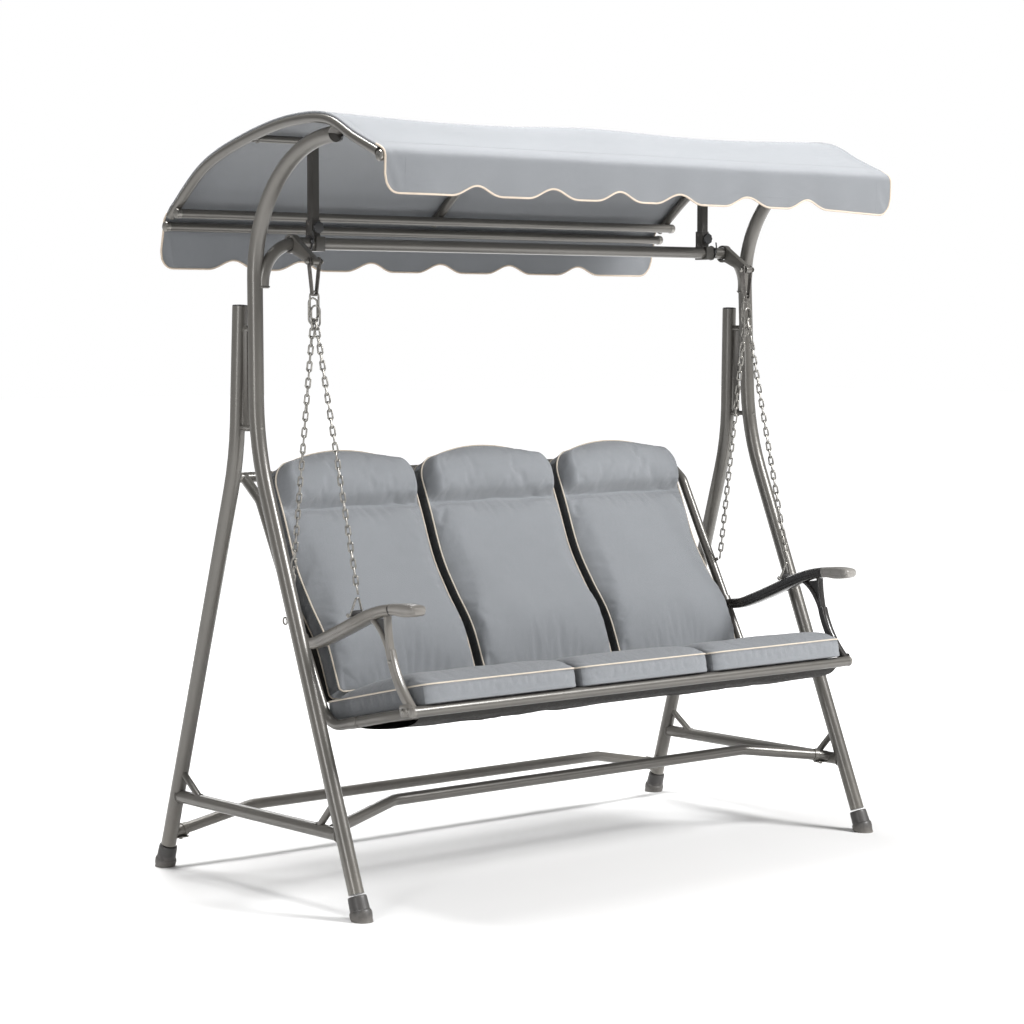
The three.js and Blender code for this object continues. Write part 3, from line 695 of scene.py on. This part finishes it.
roof = offset_line(rib_line, CLOTH_LIFT)
front_drop = smooth_line([(-525.2, 1757), (-527.5, 1800), (-528.6, 1840), (-527.6, 1858), (-520, 1869),
                          roof[2]], 24)
rear_drop = smooth_line([roof[-2], (432, 1728), (434.5, 1716), (436.5, 1700), (446, 1655), (456.5, 1601)], 26)
profile = np.concatenate([front_drop[:-1], roof[2:-1], rear_drop[1:]])
FRONT_ROWS, REAR_ROWS = 20, 22
columns = np.linspace(-CLOTH_HALF, CLOTH_HALF, 361)
rows = len(profile)


def canopy_surface():
    """Grid of points, rows along the profile and columns along x."""
    rng = np.random.default_rng(4)
    x = columns
    grid = np.zeros((rows, len(x), 3))
    grid[..., 0] = x
    grid[..., 1:] = profile[:, None]
    run = np.concatenate([[0], np.cumsum(np.linalg.norm(np.diff(profile, axis=0), axis=1))])
    for first, last, peaks, flip in ((0, FRONT_ROWS, FRONT_PEAKS, False),
                                     (rows - 1, rows - 1 - REAR_ROWS, REAR_PEAKS, True)):
        rise = scallops(x, peaks)
        if not flip:
            rise += HEM_DIP * (1 - np.clip((x - 640) / 200, 0, 1))
        span = abs(run[last] - run[first])
        for r in range(min(first, last), max(first, last) + 1):
            t = abs(run[r] - run[first]) / span
            at = rise + (span - rise) * t
            s = run[first] - at if flip else run[first] + at
            grid[r, :, 1] = np.interp(s, run, profile[:, 0])
            grid[r, :, 2] = np.interp(s, run, profile[:, 1])
            # Slack: the valance swings a little in soft folds, most at its hem.
            loose = (1 - t) ** 1.3
            fold = 3.2 * np.sin(x / 88 + 0.7) + 2.2 * np.sin(x / 47 + 2.1) + 1.2 * np.sin(x / 23 + 0.4)
            grid[r, :, 1] += loose * fold * (0.75 if flip else 1.0)
            near = np.exp(-((np.abs(x) - 862) / 16) ** 2) * loose
            grid[r, :, 1] += 3.0 * near * np.sin(t * 9 + x / 14)
    mid = slice(FRONT_ROWS, rows - REAR_ROWS)
    share = (run[mid] - run[FRONT_ROWS]) / (run[rows - REAR_ROWS - 1] - run[FRONT_ROWS])
    bay = np.sin(np.pi * np.clip(np.abs(x), 0, RIB_X) / RIB_X) ** 1.4
    drop = SAG * np.sin(np.pi * share)[:, None] ** 0.8 * bay[None]
    # Faint pull lines that run from the bars and ribs.
    pull = np.zeros((len(share), len(x)))
    for _ in range(14):
        cx, cs, lean = rng.uniform(-850, 850), rng.uniform(0.02, 0.98), rng.uniform(-0.5, 0.5)
        across = (x[None] - cx) / 26 + lean * (share[:, None] - cs) * 20
        pull += rng.uniform(0.4, 1.3) * np.exp(-across**2) * np.exp(-((share[:, None] - cs) / 0.16) ** 2)
    edge = np.exp(-np.abs(np.abs(x) - RIB_X) / 40)
    pull += 0.9 * edge * np.sin(share[:, None] * 120) * np.sin(np.pi * share[:, None])
    t = tangents(profile)[mid]
    down = np.column_stack([t[:, 1], -t[:, 0]])
    clear = np.clip(drop + pull * bay, -2, None)
    grid[mid, :, 1:] += down[:, None] * clear[..., None]
    return grid


grid = canopy_surface()
normal = unit_rows(np.cross(np.gradient(grid, axis=1), np.gradient(grid, axis=0)))
if normal[rows // 2, 100, 2] < 0:
    normal = -normal
top, under = grid + normal * CLOTH_THICK / 2, grid - normal * CLOTH_THICK / 2
canopy_cloth = Build().add(two_sided(top, under)).piece(
    "canopy_sheet", "canopy", [roof_cloth], "canopy_cloth", ("canopy_cloth",), 60)


def stitches(made, path, length=4.6, gap=2.6, radius=0.55, slot=0):
    """Thread seen as short dashes lying on a seam."""
    total = np.linalg.norm(np.diff(path, axis=0), axis=1).sum()
    marks = spaced(np.asarray(path), int(total / (length + gap)) * 2 + 1)
    for a, b in zip(marks[::2], marks[1::2]):
        aim = unit(b - a)
        a, b = (a + b) / 2 - aim * length / 2, (a + b) / 2 + aim * length / 2
        steps = [a, a + aim * 0.6, b - aim * 0.6, b]
        made.add(sweep(steps, circle(radius, 6), scale=[0.4, 1, 1, 0.4]), slot)
    return made


def hem_path(first, last):
    """Down one end of a valance, along its scallops and up the other end."""
    step = 1 if last > first else -1
    left = [grid[r, 0] for r in range(last, first, -step)]
    right = [grid[r, -1] for r in range(first + step, last + step, step)]
    return np.array(left + list(grid[first]) + right)


for name, first, last, row in (("front", 0, FRONT_ROWS, 4),
                               ("rear", rows - 1, rows - 1 - REAR_ROWS, rows - 5)):
    hem = Build().add(sweep(spaced(hem_path(first, last), 760), circle(2.7, 12)))
    hem.piece(f"{name}_valance_piping", "canopy", [tan_piping], "canopy_cloth")
    seam = Build()
    stitches(seam, top[row, 8:-8])
    bar_row = FRONT_ROWS + 3 if name == "front" else rows - REAR_ROWS - 4
    stitches(seam, top[bar_row, 4:-4])
    for k in (12, -13):
        stitches(seam, top[min(first, last):max(first, last), k])
    seam.piece(f"{name}_valance_stitching", "canopy", [roof_cloth], "canopy_cloth")
for word, k, side in (("left", 0, -1), ("right", -1, 1)):
    edge = grid[FRONT_ROWS - 2:rows - REAR_ROWS + 2, k] + vec(-side * 1.5, 0, -1.5)
    roll = Build().add(sweep(edge, circle(3.4, 12)))
    stitches(roll, top[FRONT_ROWS:rows - REAR_ROWS, 5 if side < 0 else -6])
    roll.piece(f"{word}_roof_hem", "canopy", [roof_cloth], "canopy_cloth")

# ---- bench frame ------------------------------------------------------------------------
BENCH_X, BENCH_R = 765, 14
SIDE_A, SIDE_B, SIDE_C, SIDE_D = (-486, 507), (-122, 427.7), (175, 992), (251, 1050)
REAR_RAIL = (-186, 442)
RAIL_END = BENCH_X + BENCH_R

for word, side in SIDES:
    x = side * BENCH_X
    made = Build().add(tube(at_x(x, (SIDE_A, SIDE_B, SIDE_C, SIDE_D)), BENCH_R, (75, 45), 32))
    made.add(tube([vec(x, 50, 755), vec(x + side * 6, 30, 762)], 5, count=16))
    made.bead(vec(x + side * 3, 39, 759), (side * 6, -20, 7), 6, 1.6)
    # Sleeve where the seat tube is joined, and the collar that takes the armrest.
    seat_aim = unit(vec(0, SIDE_B[0] - SIDE_A[0], SIDE_B[1] - SIDE_A[1]))
    sleeve = [(14.6, -17), (15.6, -16), (15.6, 16), (14.6, 17)]
    made.add(lathe(sleeve, vec(x, *SIDE_A) + seat_aim * 255, seat_aim, 32))
    back_aim = unit(vec(0, SIDE_C[0] - SIDE_B[0], SIDE_C[1] - SIDE_B[1]))
    collar = [(15, -19), (17.4, -18), (17.8, -14), (17.8, 14), (17.4, 18), (15, 19)]
    made.add(lathe(collar, vec(x, *SIDE_B) + back_aim * 234, back_aim, 32))
    # Rear eye bolt on a short plate.
    eye = vec(x, *SIDE_B) + back_aim * 310
    tab = [(-9, -12), (9, -12), (9, 6), (4, 18), (-4, 18), (-9, 6)]
    made.add(plate(tab, eye + vec(0, 20, -6), (1, 0, 0), (0, 1, -0.45), 4), 1)
    made.bolt(eye + vec(0, 24, -4), (0, 0.4, 1), 4.5, 1)
    made.add(sweep(at_x(0, circle(9, 24)) + eye + vec(0, 44, -18), circle(2.4, 10), closed=True), 1)
    made.piece(f"{word}_bench_side_tube", "bench", [bench_paint, zinc_steel], "frame_paint",
               (f"{word}_bench_side",))
for name, (y, z), half in (("front_rail", SIDE_A, RAIL_END), ("rear_rail", REAR_RAIL, BENCH_X - 13),
                           ("top_rail", SIDE_D, RAIL_END)):
    rail = Build().add(tube([vec(-half, y, z), vec(half, y, z)], BENCH_R))
    for sign in (-1, 1):
        end = [(12.5, -5), (14.5, -4), (14.6, 1), (13.2, 4.4), (8, 6), (1.5, 6.3)]
        rail.add(lathe(end, vec(sign * half, y, z), (sign, 0, 0), 32), 1)
    rail.piece(f"{name}_tube", "bench", [bench_paint, arm_cap_taupe], "frame_paint", (name,))

# ---- slings -----------------------------------------------------------------------------
up_back = unit(np.array(SIDE_C, float) - SIDE_B)


def on_back(along, behind):
    """(y, z) of a point along the back tube and so far behind it."""
    up_y, up_z = up_back
    return SIDE_B[0] + up_y * along + up_z * behind, SIDE_B[1] + up_z * along - up_y * behind


def s_curve(u):
    """How far the back cushion and its sling bow rearwards, u up from the cushion's foot."""
    return np.interp(u, BOW_AT, BOW)


BACK_START, BACK_SHIFT, BACK_LENGTH, CREASE = 82, 23, 678, 519
BOW_AT = np.linspace(0, BACK_LENGTH, 100)
bow_knots = smooth_line([(0, 0), (143, -9), (250, 10), (356, 22), (505, 10), (BACK_LENGTH, 0)], 200)
BOW = np.interp(BOW_AT, bow_knots[:, 0], bow_knots[:, 1])
NET_HALF = 745


def sling(name, line, node, ripple, seed):
    """A net sheet between the side tubes, slack and creased along its length."""
    rng = np.random.default_rng(seed)
    xs = np.linspace(-NET_HALF, NET_HALF, 220)
    line = spaced(np.asarray(line, float), 34)
    t = tangents(line)
    out = np.column_stack([t[:, 1], -t[:, 0]])
    share = np.linspace(0, 1, len(line))[:, None]
    wave = np.zeros((len(line), len(xs)))
    for _ in range(46):
        cx, cs = rng.uniform(-720, 720), rng.uniform(0.04, 0.96)
        long, thin, lean = rng.uniform(50, 170), rng.uniform(0.02, 0.05), rng.uniform(-0.0011, 0.0011)
        across = (share - cs - lean * (xs[None] - cx)) / thin
        height = rng.choice((-1, 1)) * rng.uniform(0.5, 1.0)
        wave += height * np.exp(-across**2) * np.exp(-((xs[None] - cx) / long) ** 2)
    held = np.sin(np.pi * share) ** 0.6 * (1 - (np.abs(xs[None]) / NET_HALF) ** 6)
    offset = ripple * wave * held
    surface = np.zeros((len(line), len(xs), 3))
    surface[..., 0] = xs
    surface[..., 1:] = line[:, None] + out[:, None] * offset[..., None]
    low = surface.copy()
    low[..., 1:] += out[:, None] * 1.2
    made = Build().add(two_sided(surface, low))
    obj = made.piece(name, "bench", [sling_net], "sling_cloth", (node,), 60)


SEAT_SLING = [(-472, 491), (-456, 476), (-430, 465), (-380, 453), (-320, 444), (-260, 438), (-206, 437)]
sling("seat_net", smooth_line(SEAT_SLING, 60), "seat_sling", 5.5, 7)
back_run = [on_back(a, 26 + s_curve(a - BACK_START)) for a in np.linspace(75, 655, 50)]
sling("back_net", back_run, "back_sling", 1.6, 11)

# ---- cushions ---------------------------------------------------------------------------
SEAT_SPANS = {"left": (-748, -240), "middle": (-230, 230), "right": (240, 748)}
BACK_SPANS = {"left": (-718, -264), "middle": (-230, 230), "right": (264, 718)}
seat_aim = unit(np.array(SIDE_B, float) - SIDE_A)
SEAT_DEPTH, SEAT_FRONT = 418, (-503, 526.5)
SEAT_WALL, BACK_WALL = 48, 50
GRID_STEP = 7.5
WALL_ROWS = 7
CLOTH_FRAMES = 20
PIPING_R = 2.2


def seat_place(x, u, v):
    along_y, along_z = seat_aim
    y = SEAT_FRONT[0] + along_y * u - along_z * v
    return np.stack([x, y, SEAT_FRONT[1] + along_z * u + along_y * v], -1)


def back_place(x, u, v):
    y, z = on_back(BACK_START + u, BACK_SHIFT - v + s_curve(u))
    return np.stack([x, y, z], -1)


def rounding(d, radius):
    """Height share of a rounded shoulder at distance d from the edge."""
    return np.sqrt(np.clip(1 - (1 - np.clip(d / radius, 0, 1)) ** 2, 0, 1))


class Cushion:
    """A box cushion on a rounded outline: crowned face, walls, flat underside."""

    def __init__(self, span, length, bow, corners, wall, crown, shoulder, place, seed):
        half, self.middle, self.place = (span[1] - span[0]) / 2, (span[0] + span[1]) / 2, place
        nx, ny = round(2 * half / GRID_STEP), round(length / GRID_STEP)
        s, t = np.meshgrid(np.linspace(-1, 1, nx + 1), np.linspace(0, 1, ny + 1))
        head = length - bow * s**2
        u = t * head
        foot_r, head_r = corners
        near_foot, near_head = np.clip(foot_r - u, 0, foot_r), np.clip(u - (head - head_r), 0, head_r)
        wide = half - (foot_r - np.sqrt(foot_r**2 - near_foot**2))
        wide -= head_r - np.sqrt(head_r**2 - near_head**2)
        x = s * wide
        in_side = wide - np.abs(x)
        soft = rounding(in_side, shoulder) * rounding(u, shoulder) * rounding(head - u, shoulder)
        pick = np.random.default_rng(seed).uniform
        rumple = sum(pick(0.4, 1.0) * np.sin(x / pick(24, 70) + u / pick(40, 120) + pick(0, 6))
                     for _ in range(5))
        v = wall + (crown(u, in_side) + 0.5 * rumple) * soft
        top = np.stack([x, u, v], -1).reshape(-1, 3)
        low = np.stack([x, u, np.zeros_like(u)], -1).reshape(-1, 3)
        ring = grid_rim(ny + 1, nx + 1)
        self.ring = np.array(ring)
        walls = [np.column_stack([top[ring, 0], top[ring, 1], top[ring, 2] * (1 - r / (WALL_ROWS + 1))])
                 for r in range(1, WALL_ROWS + 1)]
        self.flat = np.concatenate([top, low, *walls])
        self.n_top = len(top)
        sheet = grid_quads(ny + 1, nx + 1)
        faces = sheet + [tuple(q + self.n_top for q in f[::-1]) for f in sheet]
        count = len(ring)
        loops = [self.ring, *(np.arange(count) + 2 * self.n_top + r * count for r in range(WALL_ROWS)),
                 self.ring + self.n_top]
        for a, b in zip(loops, loops[1:]):
            faces += [(a[i], b[i], b[(i + 1) % count], a[(i + 1) % count]) for i in range(count)]
        self.loops, self.faces = loops, faces
        # End walls (running along u) and the underside take the darker wall cloth in slot 1, as painted
        # shade.
        seg = np.abs(np.roll(self.flat[self.ring, :2], -1, 0) - self.flat[self.ring, :2])
        shaded_side_faces = (seg[:, 1] > 1.2 * seg[:, 0]).astype(int).tolist()
        self.slots = [0] * len(sheet) + [1] * len(sheet) + shaded_side_faces * (len(loops) - 1)
        self.u = u.reshape(-1)

    def points(self, flat=None):
        f = self.flat if flat is None else flat
        return self.place(f[:, 0] + self.middle, f[:, 1], f[:, 2])

    def build(self, node, material, wall, held, pressure, cap):
        """The padded piece, blown up with its edge, its underside and the held points pinned."""
        made = Build().add((self.points(), self.faces))
        made.slots = self.slots
        obj = made.piece(f"{node}_pad", "bench", [material, wall], "cushion_cloth", (node,), 70)
        under = np.arange(self.n_top, 2 * self.n_top)
        inflate(obj, np.concatenate([self.ring, under, held]), pressure, cap)
        relax = obj.modifiers.new("smooth", "SUBSURF")
        relax.levels = relax.render_levels = 1


def inflate(obj, pinned, pressure, cap):
    """Blows the cushion up as cloth round its pinned seams and keeps the shape."""
    scene = bpy.context.scene
    mesh = obj.data
    rest = np.zeros(len(mesh.vertices) * 3, np.float32)
    mesh.vertices.foreach_get("co", rest)
    rest = rest.reshape(-1, 3)
    group = obj.vertex_groups.new(name="seams")
    group.add([int(i) for i in pinned], 1.0, "REPLACE")
    cloth = obj.modifiers.new("Cloth", "CLOTH")
    s = cloth.settings
    s.quality, s.mass = 4, 0.25
    s.tension_stiffness = s.compression_stiffness = 14
    s.shear_stiffness, s.bending_stiffness = 4, 0.25
    s.use_pressure, s.uniform_pressure_force = True, pressure
    s.vertex_group_mass = "seams"
    s.shrink_min = -0.025
    s.effector_weights.gravity = 0
    cloth.collision_settings.use_collision = False
    cloth.collision_settings.use_self_collision = False
    cloth.point_cache.frame_start, cloth.point_cache.frame_end = 1, CLOTH_FRAMES
    for f in range(1, CLOTH_FRAMES + 1):
        scene.frame_set(f)
    done = obj.evaluated_get(bpy.context.evaluated_depsgraph_get())
    end = np.zeros(len(mesh.vertices) * 3, np.float32)
    done.data.vertices.foreach_get("co", end)
    move = end.reshape(-1, 3) - rest
    far = np.linalg.norm(move, axis=1)[:, None]
    limit = cap * MM
    move *= np.where(far > 1e-9, limit * np.tanh(far / limit) / np.maximum(far, 1e-9), 1)
    obj.modifiers.remove(cloth)
    mesh.vertices.foreach_set("co", (rest + move).astype(np.float32).ravel())
    mesh.update()
    scene.frame_set(1)


def cushion_piping(cushion, name, rows):
    """Cord and a row of stitches along each seam. A row gives its wall row and its lift."""
    made = Build()
    for row, drop in rows:
        ring = cushion.flat[cushion.loops[row]].copy()
        centre = ring[:, :2].mean(0)
        out = unit_rows(ring[:, :2] - centre)
        ring[:, :2] += out * 0.6
        ring[:, 2] += drop
        line = cushion.points(ring)
        made.add(sweep(spaced(np.vstack([line, line[:1]]), 420)[:-1], circle(PIPING_R, 10), closed=True))
        stitch = ring.copy()
        stitch[:, 2] -= 5.5 if drop >= 0 else -5.5
        stitch[:, :2] += out * 0.8
        path = cushion.points(stitch)
        stitches(made, np.vstack([path, path[:1]]), 4, 3.4, 0.5, 1)
    return made.piece(name, "bench", [cream_piping, cushion_thread], "cushion_cloth")


def seat_crown(u, in_side):
    return np.interp(u, (0, 45, 130, 260, 410), (14, 21, 26, 22, 6))


def back_crown(u, in_side):
    body = np.interp(u, (0, 60, 170, 330, 440, CREASE - 20, CREASE), (6, 20, 27, 28, 20, 8, -8))
    rise = (0, 7, 16, 36, 72, 112, 139, 159)
    pillow = np.interp(u - CREASE, rise, (-10, 20, 36, 44, 46, 38, 22, 6))
    ends = rounding(in_side - 6, 24)
    return np.where(u < CREASE, body, pillow * ends - 4 * (1 - ends))


for i, word in enumerate(SEAT_SPANS):
    seat = Cushion(SEAT_SPANS[word], SEAT_DEPTH, 0, (36, 22), SEAT_WALL, seat_crown, 44, seat_place, 20 + i)
    seat.build(f"{word}_seat_cushion", seat_cloth, seat_wall_painted_shade, seat.loops[WALL_ROWS - 1], 6.0, 13)
    cushion_piping(seat, f"{word}_seat_piping", ((0, 0.6),))
    back = Cushion(BACK_SPANS[word], BACK_LENGTH, 24, (10, 74), BACK_WALL, back_crown, 34, back_place, 30 + i)
    crease = np.flatnonzero(np.abs(back.u - CREASE) < GRID_STEP * 0.55)
    back.build(f"{word}_back_cushion", back_cloth, back_wall_painted_shade, crease, 5.0, 12)
    cushion_piping(back, f"{word}_back_piping", ((0, 0.6), (WALL_ROWS + 1, 1.5)))

# ---- armrests ---------------------------------------------------------------------------
ARM_X = 770
ARM_LINE = ((-506, 756), (-445, 756), (-380, 749), (-320, 733), (-255, 708), (-190, 681), (-125, 656),
            (-75, 640), (-8, 632))
ARM_SPLIT = -404               # y of the joint between the cap and the body
# The armrest's section from its widest point to its middle line, above and below the parting groove.
ARM_UPPER = [(24, 5), (23, 9.5), (19.5, 12.6), (14, 14), (0, 14.6)]
ARM_LOWER = [(24, -1.5), (23.2, -3), (22, -3.6), (21.6, -4.6), (22.4, -6), (21, -10), (16, -13), (0, -14)]



def flipped(points):
    return [(-w, h) for w, h in points]


arm_line = smooth_line(ARM_LINE, 90)
arm_outline = ARM_UPPER + flipped(ARM_UPPER[-2::-1]) + flipped(ARM_LOWER) + ARM_LOWER[-2::-1]
section = np.array(arm_outline)[:, ::-1]
for word, side in SIDES:
    x = side * ARM_X
    # The right armrest and its strut take the near-black plastic as painted shade, and the right cap is
    # lighter as a painted highlight. The left ones take the taupe plastic.
    plastic, cap_plastic = (arm_taupe, arm_cap_taupe) if side < 0 else (arm_dark_painted_shade, arm_cap_painted_highlight)
    body_points = arm_line[arm_line[:, 0] > ARM_SPLIT + 1.2]
    cap_points = arm_line[arm_line[:, 0] < ARM_SPLIT - 1.2]
    n = len(body_points)
    taper = np.ones((n, 2))
    taper[:, 1] = np.interp(np.arange(n), (0, n * 0.55, n - 1), (1, 0.97, 0.82))
    taper[:, 0] = np.interp(np.arange(n), (0, n * 0.3, n * 0.7, n - 1), (1, 1.15, 1.15, 0.95))
    arm = Build().add(sweep(at_x(x, body_points), section, up=(0, 0, 1), scale=taper))
    arm.piece(f"{word}_armrest_body", "bench", [plastic], "arm_plastic", (f"{word}_armrest",), 50)
    run = np.linspace(0, 1, len(cap_points))
    tip = rounding(run, 0.2)
    bulge = 1 + 0.2 * np.sin(np.pi * run) ** 2
    cap_scale = np.column_stack([(0.6 + 0.4 * tip) * bulge, 0.72 + 0.28 * tip])
    line = at_x(x, cap_points)
    line[:, 2] -= (bulge - 1) * 10
    cap = Build().add(sweep(line, section, up=(0, 0, 1), scale=cap_scale))
    cap.piece(f"{word}_armrest_cap", "bench", [cap_plastic], "arm_plastic", sharp=50)
    gap_line = at_x(x, [(ARM_SPLIT - 4, 751.8), (ARM_SPLIT + 4, 750.6)])
    gap = Build().add(sweep(gap_line, section * 0.94, up=(0, 0, 1)))
    gap.piece(f"{word}_armrest_joint", "bench", [seam_dark], "arm_plastic")

    # Strut: one leg that forks under the armrest, with a dark web in the fork.
    sx = x + side * 3
    stem = smooth_line([(-484, 506), (-462, 528), (-438, 556), (-415, 592), (-400, 625), (-392, 650)], 30)
    strut = Build().add(sweep(at_x(sx, stem), rounded_box(26, 22, 8), up=(0, 1, 0)))
    rear_prong = smooth_line([(-396, 628), (-381, 662), (-360, 693), (-338, 713), (-322, 722)], 20)
    front_prong = smooth_line([(-398, 630), (-389, 665), (-383, 700), (-380, 734)], 20)
    strut.add(sweep(at_x(sx, rear_prong), rounded_box(13, 21, 5), up=(0, 1, 0)))
    strut.add(sweep(at_x(sx, front_prong), rounded_box(12, 21, 5), up=(0, 1, 0)))
    web = [(-392, 655), (-387, 700), (-384, 730), (-336, 722), (-352, 704), (-375, 678)]
    middle = np.mean(web, axis=0)
    strut.add(plate(np.array(web) - middle, vec(sx, *middle), (0, 1, 0), (0, 0, 1), 9), 1)
    foot = vec(sx, -470, 510)
    strut.add(plate(rounded_box(46, 30, 8), foot + vec(side * 12, 4, 0), (0, 1, -0.22), (0, 0.22, 1), 3), 0)
    strut.bolt(foot + vec(side * 13.5, 12, -3), (side, 0, 0), 5, 2)
    strut.bolt(foot + vec(side * 13.5, -6, 2), (side, 0, 0), 4, 2)
    strut.bolt(vec(sx + side * 10.5, -402, 624), (side, 0, 0), 3.6, 2)
    strut.piece(f"{word}_arm_strut_fork", "bench", [plastic, seam_dark, zinc_steel], "arm_plastic",
                (f"{word}_arm_strut",), 50)

# ---- suspension -------------------------------------------------------------------------
HANG_X, HANG_Y, HANG_Z = 774, -81, 1611
LINK_LENGTH, LINK_WIDTH, LINK_R = 31.0, 16.0, 2.4
RING_FOOT = 1462
SHACKLE_PIN = vec(0, -247, 726)


def stadium(centre, along, across, length, width, count=28):
    """Centre line of a long ring: two half circles joined by straight sides."""
    r = width / 2
    straight = (length - width) / 2
    out = []
    for a in np.arange(count) * 2 * math.pi / count + 1e-6:
        shift = straight if math.sin(a) > 0 else -straight
        out.append(centre + across * r * math.cos(a) + along * (r * math.sin(a) + shift))
    return np.array(out)


def chain(node, top, foot, seed):
    """Welded links, each turned a quarter from the next with a little twist."""
    rng = np.random.default_rng(seed)
    top, foot = np.asarray(top, float), np.asarray(foot, float)
    aim = unit(foot - top)
    _, n, b = basis(aim)
    pitch = LINK_LENGTH - 4 * LINK_R
    count = round(np.linalg.norm(foot - top) / pitch)
    pitch = np.linalg.norm(foot - top) / count
    made = Build()
    for i in range(count):
        a = math.pi / 2 * (i % 2) + math.pi / 4 + rng.uniform(-0.16, 0.16)
        across = n * math.cos(a) + b * math.sin(a)
        line = stadium(top + aim * pitch * (i + 0.5), aim, across, LINK_LENGTH - 2 * LINK_R,
                       LINK_WIDTH - 2 * LINK_R, 22)
        made.add(sweep(line, circle(LINK_R, 8), closed=True))
        made.add(sweep([line[0] - aim * 1.4, line[0] + aim * 1.4], circle(LINK_R * 1.25, 8)))
    made.piece(f"{node}_links", "bench", [zinc_steel], "bright_steel", (node,), 60)


for i, (word, side) in enumerate(SIDES):
    x = side * HANG_X
    refined(f"{word}_hook", dark_steel, 0.7)
    pins = Build()
    for sign in (1, -1):
        pins.bolt(vec(x + sign * 22, HANG_Y, HANG_Z), (sign, 0, 0))
    pins.piece(f"{word}_hook_bolts", "frame", [zinc_steel], "bright_steel")
    rings = Build()
    for shift_y, top_z, length in ((0, 1536, 70), (5.4, 1519, 66), (-5.4, 1500, 56)):
        centre = vec(x, HANG_Y + shift_y, top_z - length / 2)
        line = stadium(centre, vec(0, 0, 1), vec(1, 0, 0), length, 27, 36)
        rings.add(sweep(line, circle(2.5, 10), closed=True))
    rings.piece(f"{word}_nested_rings", "bench", [zinc_steel], "bright_steel", (f"{word}_top_ring",), 60)
    arm_x = side * ARM_X
    chain(f"{word}_front_chain", (x, HANG_Y - 5.6, RING_FOOT), (arm_x, -254, 782), 40 + i)
    chain(f"{word}_rear_chain", (x, HANG_Y + 5.6, RING_FOOT), (x, 23.3, 766), 50 + i)

    loop = bent([vec(arm_x - 21, -248, 722), vec(arm_x, -254, 781), vec(arm_x + 21, -248, 722)], (6,))
    shackle = Build().add(sweep(loop, circle(2.9, 16)))
    pin = SHACKLE_PIN + (arm_x, 0, 0)
    shackle.add(tube([pin - (27, 0, 0), pin + (27, 0, 0)], 3, count=16))
    shackle.bolt(pin - (25, 0, 0), (-1, 0, 0), 4).bolt(pin + (25, 0, 0), (1, 0, 0), 4)
    shackle.add(plate(rounded_box(32, 15, 4), pin + (0, 0, 4), (1, 0, 0), (0, 0, 1), 12, 2), 1)
    shackle.piece(f"{word}_shackle_loop", "bench", [zinc_steel, seam_dark], "bright_steel",
                  (f"{word}_shackle",), 50)

# ---- floor and light --------------------------------------------------------------------
floor_mesh = bpy.data.meshes.new("floor")
floor_mesh.from_pydata([(-40, -40, 0), (40, -40, 0), (40, 40, 0), (-40, 40, 0)], [], [(0, 1, 2, 3)])
floor = bpy.data.objects.new("floor", floor_mesh)
bpy.context.scene.collection.objects.link(floor)
pale = Finish("floor_pale", Roughness=0.6, Specular_IOR_Level=0.2, Emission_Color=(1, 1, 1, 1))
pale.drive("Base Color", pale.ramp(pale.noise(0.8, 3), (0.69, 0.69, 0.69), (0.70, 0.695, 0.69)))
far = pale.add("ShaderNodeVectorMath", {0: pale.place}, out=1, operation="LENGTH")
pale.drive("Emission Strength", pale.add("ShaderNodeMapRange", {0: far, 1: 1.3, 2: 4.5, 3: 0.0, 4: 0.9}))
floor_mesh.materials.append(pale.material)


def soft_box(name, place, aim, size, power, colour=(1, 1, 1)):
    light = bpy.data.objects.new(name, bpy.data.lights.new(name, "AREA"))
    light.data.shape, light.data.size, light.data.size_y = "RECTANGLE", size[0], size[1]
    light.data.energy, light.data.color = power, colour
    light.location = place
    light.rotation_euler = (Vector(aim) - Vector(place)).to_track_quat("-Z", "Y").to_euler()
    bpy.context.scene.collection.objects.link(light)


soft_box("key", (2.6, -4.4, 4.6), (0, 0, 0.7), (1.8, 1.8), 600)
soft_box("top", (-0.4, 0.9, 5.6), (0, 0, 1.0), (2.4, 2.4), 560)
soft_box("side", (-5.6, -2.4, 2.2), (0, 0, 0.9), (0.7, 2.6), 90)
soft_box("rim", (2.0, 5.0, 3.2), (0, 0, 1.0), (3, 1), 60)
SKY_LIGHT, SKY_SEEN = 0.32, 1.0
world = bpy.context.scene.world or bpy.data.worlds.new("world")
bpy.context.scene.world = world
world.use_nodes = True
sky = world.node_tree
background, seen, level = (sky.nodes["Background"], sky.nodes.new("ShaderNodeLightPath"),
                           sky.nodes.new("ShaderNodeMapRange"))
background.inputs[0].default_value = (1, 1, 1, 1)
level.inputs[3].default_value, level.inputs[4].default_value = SKY_LIGHT, SKY_SEEN
sky.links.new(seen.outputs["Is Camera Ray"], level.inputs[0])
sky.links.new(level.outputs[0], background.inputs[1])
bpy.context.scene.view_settings.view_transform = "Standard"
